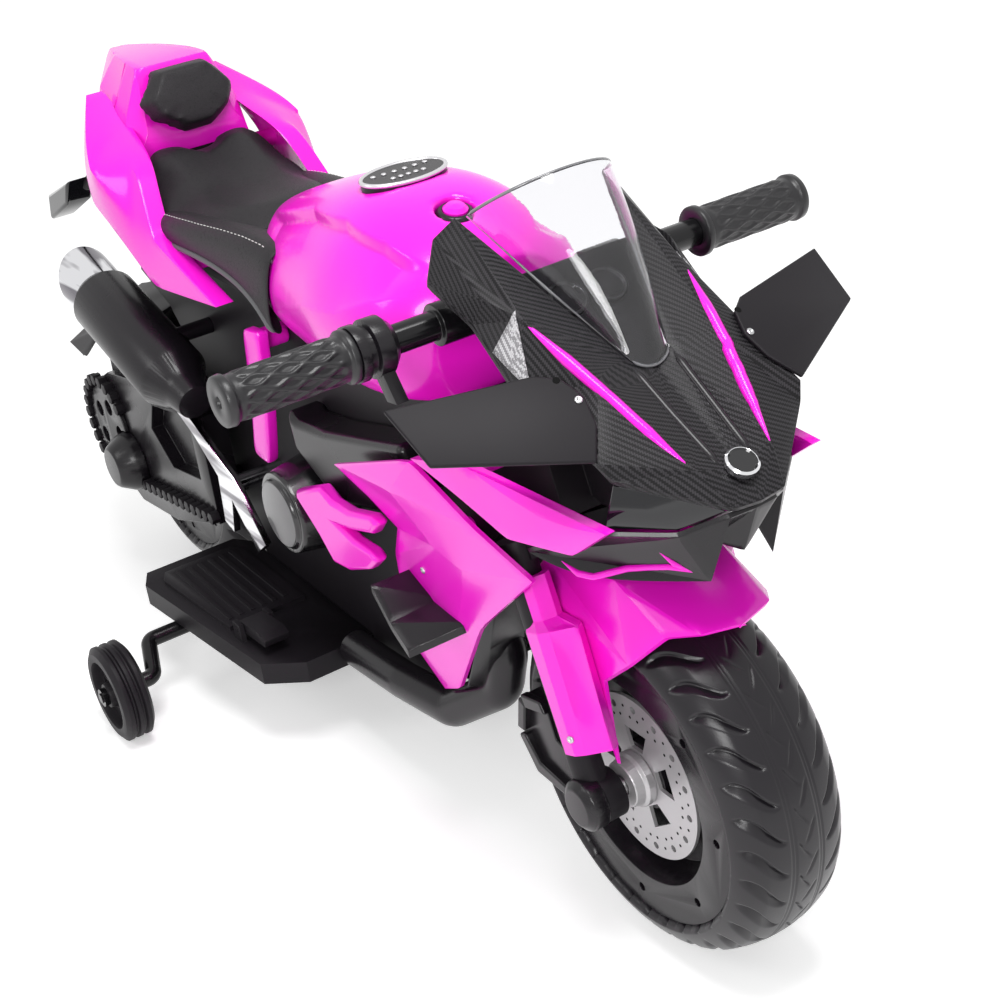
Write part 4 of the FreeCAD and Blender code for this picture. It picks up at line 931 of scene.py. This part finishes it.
# %% Stamps and where they go
def stamp(name, profile, sides, lying=False):
    """Small turned shape about Z from pairs of radius and height in mm; lying turns it along X."""
    bm = bmesh.new()
    turns = [TURN * (k + 0.5) / sides for k in range(sides)]
    rings = [[bm.verts.new(at(radius * math.cos(a), radius * math.sin(a), height)) for a in turns]
             for radius, height in profile]
    laced(bm, rings, True)
    bm.faces.new(rings[-1])
    bm.faces.new(reversed(rings[0]))
    if lying:
        bmesh.ops.rotate(bm, verts=bm.verts, matrix=Matrix.Rotation(math.pi / 2, 3, "Y"))
    outward(bm)
    return linked(name, as_mesh(bm, name))


def spread(name, spots, shape, finish, node, scale=1.0):
    """Copies of a stamp on spots of place, facing and heading."""
    base = bpy.data.meshes.new(name)
    base.from_pydata([spot[0] for spot in spots], [], [])
    carry(base, "facing", "FLOAT_VECTOR", [spot[1] for spot in spots])
    carry(base, "heading", "FLOAT_VECTOR", [spot[2] for spot in spots])
    recipe = Recipe(name, Scale=scale)
    upright = recipe.add("FunctionNodeAlignRotationToVector", {"axis": "Z"},
                         {"Vector": recipe.carried("facing", "FLOAT_VECTOR")})
    turn = recipe.add("FunctionNodeAlignRotationToVector", {"axis": "X", "pivot_axis": "Z"},
                      {"Rotation": upright, "Vector": recipe.carried("heading", "FLOAT_VECTOR")})
    copy = recipe.add("GeometryNodeObjectInfo", {}, {"Object": shape}, "Geometry")
    copies = recipe.add("GeometryNodeInstanceOnPoints", {}, {
        "Points": recipe.given("Geometry"), "Instance": copy, "Rotation": turn, "Scale": recipe.given("Scale")})
    return recipe.run(name, base, copies, finish, node)


stitch_shape = stamp("stitch_shape", [(0.2, -1.8), (0.45, -1.3), (0.5, 0.0), (0.45, 1.3), (0.2, 1.8)], 6, True)
screw_shape = stamp("screw_shape", [(3.3, -1.0), (3.3, 0.7), (2.5, 1.4), (1.4, 1.4), (1.2, 0.5)], 12)
# Flat disc, painted dark where it is used, that stands in for the shade of a hole.
hole_shape = stamp("hole_shape", [(2.6, -1.0), (2.6, 0.12), (2.2, 0.15)], 12)
key_shape = stamp("key_shape", [(2.2, 0.0), (2.2, 0.7), (1.7, 1.1)], 10)
print("stamps ready")

# %% [markdown]
# ## Seat flanks and trim
# The cover of the seat runs down in a flank on each side that sweeps forward round the tank. A white seam
# follows its shoulder and a grey piping closes its lower edge. The flank is drawn as a coarse net and
# subdivided, and the trim clings to it.


# %% Flanks
def flank(name, hand):
    """Padded side of the seat: stations along the bike, each from the seat's top to the piping."""
    stations = [(-292, 464, -286, 446, 64), (-262, 470, -256, 447, 78), (-225, 477, -220, 448, 86),
                (-180, 483, -178, 450, 88), (-133, 487, -133, 450, 86), (-90, 490, -93, 445, 83),
                (-50, 492, -60, 436, 81), (-18, 491, -36, 420, 80), (4, 487, -20, 402, 80)]
    bm = bmesh.new()
    net = []
    for top_x, top, low_x, low, out in stations:
        mid = ((top_x + low_x) / 2, out, (top + low) / 2)
        column = [(top_x, out * 0.30, top - 18), (top_x, out * 0.80, top + 1), (top_x, out * 0.97, top - 7), mid,
                  (low_x, out - 2, low), (low_x, out - 18, low - 4)]
        net.append([bm.verts.new(at(x, hand * y, z)) for x, y, z in column])
    for back, front in zip(net, net[1:]):
        for k in range(len(back) - 1):
            bm.faces.new((back[k], front[k], front[k + 1], back[k + 1]))
    outward(bm)
    if sum(face.normal.y for face in bm.faces) * hand < 0:
        bmesh.ops.reverse_faces(bm, faces=bm.faces)
    piece = placed(name, as_mesh(bm, name), "seat_leather", "seat_cushion")
    add_wall(piece, 5.0, -1.0)
    add_curve(piece, 2)
    return piece


flanks = [flank("seat_flank_right", -1), flank("seat_flank_left", 1)]
flank_skins = [skin_of(piece) for piece in flanks]
print("flanks:", len(flanks))

# %% Stitches and piping
SEAM = [(-256, -72, 470), (-225, -78, 476), (-180, -80, 482), (-133, -79, 486), (-90, -76, 489), (-50, -74, 491),
        (-8, -72, 489)]
PIPING = [(-256, -76, 447), (-220, -84, 448), (-178, -86, 450), (-133, -84, 450), (-93, -81, 445), (-60, -79, 436),
          (-36, -78, 420), (-20, -78, 403)]
stitches = []
for skin, corners in zip(flank_skins, (SEAM, mirrored(SEAM))):
    path = clinging(skin, corners, 6.4, 0.2)
    for (spot, facing), (ahead, _) in zip(path, path[1:]):
        stitches.append((spot, facing, (ahead - spot).normalized()))
spread("seat_stitches", stitches, stitch_shape, "thread_white", "seat_cushion")
welts = [clinging(skin, smooth_path(path), 5.0, 0.4) for skin, path in zip(flank_skins, (PIPING, mirrored(PIPING)))]
bead("seat_piping", welts, 3.2, "piping_grey", "seat_cushion", ends=0.06)
print("stitches:", len(stitches))

# %% [markdown]
# ## Nose trim
# Two pink strips run down the folds of the nose from under the screen to the ring, with two black ridges between
# them. A silver patch of the same weave fills each cheek, and thin pink lines follow the jaw. All are slim raised
# shapes that cling to the dressed skins.


# %% Pink strips on nose and jaw
NOSE_FOLD = [(386, -69.5, 530), (420, -61.3, 509.5), (450, -53.5, 491), (478, -46, 472), (500, -39.5, 457.5),
             (524, -31, 441.5)]
JAW_LOWER = [(419.2, -79.4, 355.7), (433.2, -76.3, 349.6), (444.5, -70.8, 349.6), (465, -55.2, 358.5),
             (495, -42.6, 366.6), (510.3, -33.9, 364.3)]
JAW_BACK = [(510.3, -33.9, 364.3), (500.2, -41.4, 370.4), (493.1, -48.4, 379.5)]
RIDGE = [(438, -17.5, 489.5), (470, -15.8, 471.5), (500, -14.2, 455), (523, -13, 441)]
nose_skin = skin_of(panels["nose_cowl"])
jaw_skin = skin_of(panels["jaw"])


def paired(skin, lines, step, lift):
    """Clinging paths along lines and their mirror images."""
    return [clinging(skin, corners, step, lift) for line in lines for corners in (line, mirrored(line))]


bead("nose_ridges", paired(nose_skin, [RIDGE], 5.0, -1.4), 3.4, "black_satin", "nose_cowl", ends=0.1)
bead("nose_strips", paired(nose_skin, [NOSE_FOLD], 4.0, -1.5), 4.4, "pink_plastic", "nose_cowl", ends=0.3)
bead("jaw_lines", paired(jaw_skin, [JAW_LOWER, JAW_BACK], 14.0, -0.3), 2.6, "pink_plastic", "jaw", ends=0.15)
print("strips, ridges and lines ready")


# %% Silver patches
def cheek_patch(name, corners, skin):
    """Thin triangle of weave laid on the skin."""
    bm = bmesh.new()
    a, b, c = (at(*p) for p in corners)
    steps = 10
    rows = []
    for i in range(steps + 1):
        row = []
        for k in range(i + 1):
            spot = a + (b - a) * (i / steps) + (c - b) * (k / steps)
            place, facing, _, _ = skin.find_nearest(spot)
            row.append(bm.verts.new(place + facing * 0.5 * MM))
        rows.append(row)
    for upper, lower in zip(rows, rows[1:]):
        for k in range(len(upper)):
            bm.faces.new((upper[k], lower[k], lower[k + 1]))
            if k:
                bm.faces.new((upper[k - 1], lower[k], upper[k]))
    outward(bm)
    mesh = as_mesh(bm, name)
    chart_facets(mesh)
    piece = placed(name, mesh, "silver_weave", "nose_cowl")
    add_wall(piece, 0.4, 0.0)


CHEEK = [(383.3, -68.9, 531.6), (416, -85, 487), (377, -87, 505)]
cheek_patch("cheek_patch_right", CHEEK, nose_skin)
cheek_patch("cheek_patch_left", mirrored(CHEEK), nose_skin)
print("nose trim ready")

# %% [markdown]
# ## Screws and painted hole shades
# Small pan head screws hold the panels, a flat dark disc beside each winglet screw paints in the shade of a blind
# hole, and a bright cap closes each training wheel hub. Their spots come from the photograph and drop onto the skins
# that carry them.


# %% Screws
def both(corner, skins):
    """A spot and its mirror image on the skins, facing out."""
    spots = []
    for place in (corner, mirrored([corner])[0]):
        for skin in skins:
            hit, facing, _, distance = skin.find_nearest(at(*place))
            if distance < 12 * MM:
                spots.append((hit, facing, facing.orthogonal()))
                break
    return spots


fairing_skins = [skin_of(panels["side_fairing_right"]), skin_of(panels["side_fairing_left"])]
wing_skin = [skin_of(blocks["winglets"])]
frame_screws = both((230, -92.5, 275.8), fairing_skins) + both((454.5, -73, 489), wing_skin)
spread("panel_screws", frame_screws, screw_shape, "steel", "winglets", 0.9)
# Dark discs beside the winglet screws: painted shade of blind holes.
spread("wing_holes", both((437.5, -77.5, 499.5), wing_skin), hole_shape, "dark_hole", "winglets")
cover_screws = both((417, -89.5, 207.4), [skin_of(panels["fork_covers"])])
spread("cover_screws", cover_screws, screw_shape, "steel", "fork_covers", 0.9)
for node, hand in (("training_wheel_right", -1), ("training_wheel_left", 1)):
    hub = middle_of(node)
    hub.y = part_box(node)[hand > 0][1]
    spread(node + "_cap", [(hub, LEFT * hand, AHEAD)], screw_shape, "steel", node, 2.2)
print("screws:", len(frame_screws) + len(cover_screws))

# %% [markdown]
# ## Tank cover
# The tank has a shoulder line, and below it the flank is hollowed where the knees go. A remeshed copy of the
# solid is pressed in there: hard under the shoulder, fading out towards the lower edge.


# %% Knee hollows
KNEE_DEPTH = 9.0


def knee_depth(x, y, z):
    """How far a point of the tank goes in, in mm."""
    shoulder = np.interp(x, [-60, -22, 67, 140, 196, 240], [500, 509, 534, 542, 536, 522])
    lower = np.interp(x, [-60, 0, 47, 100, 170, 206, 244], [420, 430, 452, 470, 484, 499, 508])
    below = np.clip((shoulder - z) / 4.5, 0, 1)
    above = np.clip((z - lower) / np.maximum(shoulder - lower - 6, 4), 0, 1)
    ends = np.clip((x + 60) / 40, 0, 1) * np.clip((238 - x) / 20, 0, 1)
    beside = np.clip((np.abs(y) - 30) / 14, 0, 1)
    return KNEE_DEPTH * below * above ** 0.7 * ends * beside


def tank_hollowed():
    """Even copy of the tank with both hollows pressed in."""
    cover = placed("tank_cover_skin", as_mesh(joined("tank_cover"), "tank_cover_skin"), "pink_plastic", "tank_cover")
    make_even(cover, 2.6, 10)
    points = points_of(cover.data) / MM
    facing = np.array([v.normal[:] for v in cover.data.vertices])
    depth = knee_depth(*points.T)
    cover.data.vertices.foreach_set("co", ((points - facing * depth[:, None]) * MM).ravel())
    cover.data.shade_smooth()
    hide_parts("tank_cover")
    return cover


tank = tank_hollowed()
print("tank points:", len(tank.data.vertices))

# %% [markdown]
# ## Tank panel
# A black oval on the tank carries two rows of plain keys inside a silver rim. The rim is a bead round the oval
# and the keys are stamped on its face.


# %% Panel rim and keys
PANEL_X, PANEL_Z, PANEL_LEAN = 126.0, 560.0, math.radians(2)
panel_up = Vector((math.sin(PANEL_LEAN), 0, math.cos(PANEL_LEAN)))
panel_ahead = Vector((math.cos(PANEL_LEAN), 0, -math.sin(PANEL_LEAN)))


def on_panel(across, ahead, proud=0.0):
    """Place on the oval's face: mm to the left, mm ahead and mm above it."""
    return at(PANEL_X, across, PANEL_Z) + (panel_ahead * ahead + panel_up * proud) * MM


turns = [TURN * k / 64 for k in range(64)]
oval = [(on_panel(37.0 * math.cos(a), 23.2 * math.sin(a), -0.7), panel_up) for a in turns]
bead("panel_rim", [oval], 1.9, "silver_trim", "tank_panel", ends=0, closed=True)
places = [on_panel(-24 + 9.6 * k, -6.0 - 0.12 * (k - 2.5) ** 2) for k in range(6)]
places += [on_panel(-14 + 7.0 * k, 8.0) for k in range(5)]
keys = [(place, panel_up, AHEAD) for place in places]
spread("panel_keys", keys, key_shape, "silver_trim", "tank_panel")
print("keys:", len(keys))

# %% [markdown]
# ## Tray under the screen
# Through the clear screen a dark tray closes the nose. It follows the slope of the screen, with a raised lip and
# two round dials.


# %% Tray
def screen_tray():
    """Ring round the tray's middle that shrinks in steps: lip, wall and floor."""
    edge = [(350, 52, 541), (394, 37, 507), (428, 20, 484), (440, 0, 478)]
    ring = [at(*p) for p in edge + mirrored(edge[:-1])[::-1]]
    middle = at(388, 0, 512)
    bm = bmesh.new()
    rows = [[bm.verts.new(middle + (p - middle) * share - UP * drop * MM) for p in ring]
            for share, drop in ((1.0, 0.0), (0.94, 0.5), (0.9, 4.0), (0.55, 6.0))]
    laced(bm, rows, True)
    bm.faces.new(rows[-1])
    outward(bm)
    piece = placed("dash_tray_skin", as_mesh(bm, "dash_tray_skin"), "black_matte", "dash_tray")
    add_wall(piece, 2.0, -1.0)
    add_bevel(piece, 0.6, 2, 30)
    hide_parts("dash_tray")


screen_tray()
dial_shape = stamp("dial_shape", [(15, 0), (15, 5), (13.6, 6.2), (12.4, 5.4), (12.0, 2.5)], 28)
dials = [(at(368, y, 517.5), Vector((0.55, 0, 0.8)).normalized(), LEFT) for y in (-17, 17)]
spread("dash_dials", dials, dial_shape, "black_satin", "dash_tray")
print("tray ready")

# %% [markdown]
# ## Slabs on the flanks
# Beside the engine sit a pink hook-shaped brace and a dark housing, the indicators end in thick lenses and the
# calipers carry ribs. Each is a thick plate with a drawn outline, so one helper extrudes an outline on both
# sides and rolls its edges over. Behind the front wheel two bent dark shields close the fairing.


# %% Slab helper
def slab(name, outline, inside, outside, finish, node, roll):
    """Plate from a side view outline in mm, on both sides of the bike, with rolled edges."""
    bm = bmesh.new()
    for hand in (-1, 1):
        near, far = [[bm.verts.new(at(x, hand * y, z)) for x, z in outline] for y in (outside, inside)]
        bm.faces.new(near)
        bm.faces.new(far)
        laced(bm, (near, far), True)
    outward(bm)
    piece = placed(name, as_mesh(bm, name), finish, node)
    add_bevel(piece, roll, 5, 50)
    return piece


# %% Brace and housing
HOOK = [(29, 279), (79, 300), (97, 293), (127, 294), (168, 305), (181, 302), (168, 288), (131, 277), (106, 272),
        (128, 267), (157, 268), (168, 262), (150, 247), (111, 230), (82, 226), (61, 246), (41, 260), (25, 271)]
HOUSING = [(-10, 338), (6, 330), (60, 338), (200, 372), (214, 330), (150, 292), (72, 272), (40, 280), (-4, 300)]
hook = slab("engine_swooshes_skin", HOOK, 89, 103, "pink_plastic", "engine_swooshes", 5.0)
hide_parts("engine_swooshes")
slab("engine_housing", HOUSING, 44, 82, "black_satin", "engine_covers", 7.0)
LENS = [(-464, 458), (-484, 428), (-553, 396), (-541, 428)]
slab("indicator_lenses", LENS, 52, 82, "lamp_glass", "indicators", 4.0)
print("slabs ready")

# %% Caliper ribs
RIBS = [("top", [(340, 207), (368, 213), (374, 204), (346, 197)]),
        ("back", [(330, 172), (337, 203), (346, 199), (340, 172)]),
        ("low", [(331, 166), (352, 140), (392, 138), (396, 147), (357, 151), (340, 170)])]
for part, outline in RIBS:
    slab("caliper_rib_" + part, outline, 76, 84, "black_satin", "calipers", 2.0)
print("caliper ribs:", len(RIBS))


# %% Shields behind the wheel
def shields():
    """Bent dark plates from the fairing's front edge towards the middle."""
    outer = [(297, 82, 262), (260, 74, 204), (220, 64, 148)]
    fold = [(298, 70, 262), (264, 62, 204), (230, 52, 148)]
    inner = [(276, 30, 262), (258, 24, 204), (238, 20, 152)]
    bm = bmesh.new()
    for hand in (-1, 1):
        grid = [[bm.verts.new(at(x, hand * y, z)) for x, y, z in row] for row in (outer, fold, inner)]
        laced(bm, grid, False)
    outward(bm)
    piece = placed("ducts_skin", as_mesh(bm, "ducts_skin"), "black_satin", "ducts")
    add_wall(piece, 3.0, 0.0)
    add_bevel(piece, 1.0, 2, 18)
    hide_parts("ducts")


shields()
print("shields ready")

# %% [markdown]
# ## Screen edge and disc hubs
# The cut edge of the clear screen catches the light as a grey line all round, painted in by a grey bead. The front
# hub shows between disc and fork as a stepped silver collar, and small flat dark discs between the disc's own holes
# paint in the shade of more holes.


# %% Screen edge
def screen_edge():
    """Paths along the outline of the clear screen, just inside its edge."""
    right = [(319, -59, 582), (377, -39, 538), (438, -15.6, 492.4)]
    left = mirrored(right)
    top = arc(right[0], (364, 0, 610), left[0], 24)
    low = arc(right[-1], (443, 0, 486), left[-1], 10)
    inside = Vector((-1, 0, -0.5))
    return [[((Vector(p) + inside) * MM, None) for p in path] for path in (top, low, right, left)]


# The grey bead paints in the line of light and shade along the cut edge of the clear screen.
bead("windscreen_edge", screen_edge(), 1.25, "screen_edge", "windscreen", ends=0)

# %% Disc hubs
_, disc_face, disc_top = Vector(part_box("brake_discs")[1]) / MM
HUB = [(36.4, 8.6), (36.4, 22.0), (38.0, 22.6), (43.0, 22.6), (45.0, 20.0), (52.0, 18.6), (53.0, 18.0), (53.0, 8.6)]
for hand, side in ((-1, "right"), (1, "left")):
    section = [(along * hand, radius) for along, radius in HUB]
    collar = turned("disc_hub", section, (WHEEL_X, 0.0, AXLE_Z), columns=40, closed=True)
    piece = placed("disc_hub_" + side, collar, "grey_paint", "brake_discs")
    add_bevel(piece, 0.5, 2, 30)
# Flat dark discs between the disc's own holes: painted shade of more holes.
HOLE_SHADE_GROUPS = 15
hole_shade_spots = []
for k in range(HOLE_SHADE_GROUPS):
    for inset, ahead in ((9, 12), (17, 5), (17, 19)):
        reach, turn = disc_top - AXLE_Z - inset, math.radians(90 + 360 / HOLE_SHADE_GROUPS * k + ahead)
        for hand in (-1, 1):
            spot = at(WHEEL_X + reach * math.cos(turn), hand * disc_face, AXLE_Z + reach * math.sin(turn))
            hole_shade_spots.append((spot, LEFT * hand, AHEAD))
spread("disc_drilling", hole_shade_spots, hole_shape, "dark_hole", "brake_discs", 0.5)
print("edge and hubs ready")

# %% [markdown]
# ## Grille behind the front wheel
# The gap between the two shields is closed by a dark grille, so that no daylight shows under the bike. Its
# slats are one box, copied along a rising line.


# %% Slats
SLATS, GRILLE_FOOT, GRILLE_RISE = 13, at(206, 0, 150), at(62, 0, 126)


def duct_grille():
    """Row of slats that rises towards the front."""
    recipe = Recipe("duct_grille", Slats=SLATS, Width=118 * MM, Depth=14 * MM, Wall=3 * MM)
    size = recipe.add("ShaderNodeCombineXYZ", {}, {0: recipe.given("Depth"), 1: recipe.given("Width"),
                                                   2: recipe.given("Wall")})
    slat = recipe.add("GeometryNodeMeshCube", {}, {"Size": size})
    line = recipe.add("GeometryNodeMeshLine", {}, {"Count": recipe.given("Slats"), "Start Location": GRILLE_FOOT,
                                                   "Offset": GRILLE_RISE / (SLATS - 1)})
    copies = recipe.add("GeometryNodeInstanceOnPoints", {}, {"Points": line, "Instance": slat})
    base = bpy.data.meshes.new("duct_grille")
    piece = recipe.run("duct_grille", base, copies, "black_matte", "ducts")
    piece.data.shade_flat()
    return piece


grille = duct_grille()
print("grille faces:", len(grille.data.polygons))

# %% Put the stamps away
stamps = (stitch_shape, screw_shape, hole_shape, key_shape, dial_shape)
for shape in stamps:
    bpy.data.objects.remove(shape)
print("stamps put away:", len(stamps))

# %% [markdown]
# ## Studio
# A pale floor, an even white sky and soft lamps show the finishes as they are. The camera stands where the
# photograph was taken: ahead of the bike, to the rider's right and above.


# %% Floor and sky
def seen_rays(tree):
    """One where a ray comes from the camera, a mirror or a clear piece."""
    rays = tree.add("ShaderNodeLightPath", {}, {}).socket.node.outputs
    direct = Flow(tree, rays["Is Camera Ray"]) + Flow(tree, rays["Is Glossy Ray"])
    return (direct + Flow(tree, rays["Is Transmission Ray"])).clipped()


def white_studio():
    """Sky that looks white and gives half as much light."""
    world = bpy.data.worlds.new("studio")
    bpy.context.scene.world = world
    world.use_nodes = True
    sky = Tree(world.node_tree)
    background = world.node_tree.nodes["Background"].inputs
    sky.put(background["Color"], (1, 1, 1, 1))
    sky.put(background["Strength"], 0.5 + 0.5 * seen_rays(sky))


def pale_floor():
    """Floor that takes a shadow near the bike and turns white far away."""
    bm = bmesh.new()
    bmesh.ops.create_grid(bm, x_segments=1, y_segments=1, size=14.0)
    piece = linked("floor", as_mesh(bm, "floor"))
    piece.location.z = -0.5 * MM
    pale = Finish("floor_paint", (0.95, 0.95, 0.95), 0.9, Specular_IOR_Level=0.0)
    far = ((pale.vector("LENGTH", pale.spot(), out="Value") - 1.2) / 2.0).clipped()
    pale.look("Emission Color", pale.mix(far, (0.67, 0.67, 0.67), (1, 1, 1)))
    pale.look("Emission Strength", 0.57 * seen_rays(pale))
    paint(piece.data, "floor_paint")


white_studio()
pale_floor()
print("floor and sky ready")


# %% Lamps and camera
def aimed(name, data, place, turn):
    piece = linked(name, data)
    piece.location = place
    piece.rotation_mode = "QUATERNION"
    piece.rotation_quaternion = turn
    return piece


def lamp(name, place, size, watts):
    """Soft round lamp that looks at the middle of the bike."""
    data = bpy.data.lights.new(name, "AREA")
    data.shape = "DISK"
    data.size = size
    data.energy = watts
    aimed(name, data, place, (at(0, 0, 300) - Vector(place)).to_track_quat("-Z", "Y"))


FOCAL, SENSOR = 1.8236, 36.0


def photo_camera():
    """The photograph's own camera: its focal length in picture widths, its place and its turn."""
    azimuth, elevation, roll = (math.radians(a) for a in (60.38, 26.96, -8.05))
    back = Vector((math.sin(azimuth) * math.cos(elevation), -math.cos(azimuth) * math.cos(elevation),
                   math.sin(elevation)))
    turn = (-back).to_track_quat("-Z", "Y") @ Matrix.Rotation(roll, 3, "Z").to_quaternion()
    data = bpy.data.cameras.new("photo_camera")
    data.sensor_width = SENSOR
    data.lens = SENSOR * FOCAL
    data.shift_x, data.shift_y = 0.00424, -0.00935
    bpy.context.scene.camera = aimed("photo_camera", data, (1.36587, -0.66218, 0.98265), turn)


lamp("top_lamp", (0.7, -0.1, 2.3), 1.0, 30.0)
lamp("front_lamp", (1.9, -1.5, 1.4), 0.8, 23.0)
lamp("side_lamp", (-0.4, -2.0, 1.9), 0.9, 7.0)
photo_camera()
bpy.context.scene.view_settings.view_transform = "Standard"
print("lamps and camera ready")
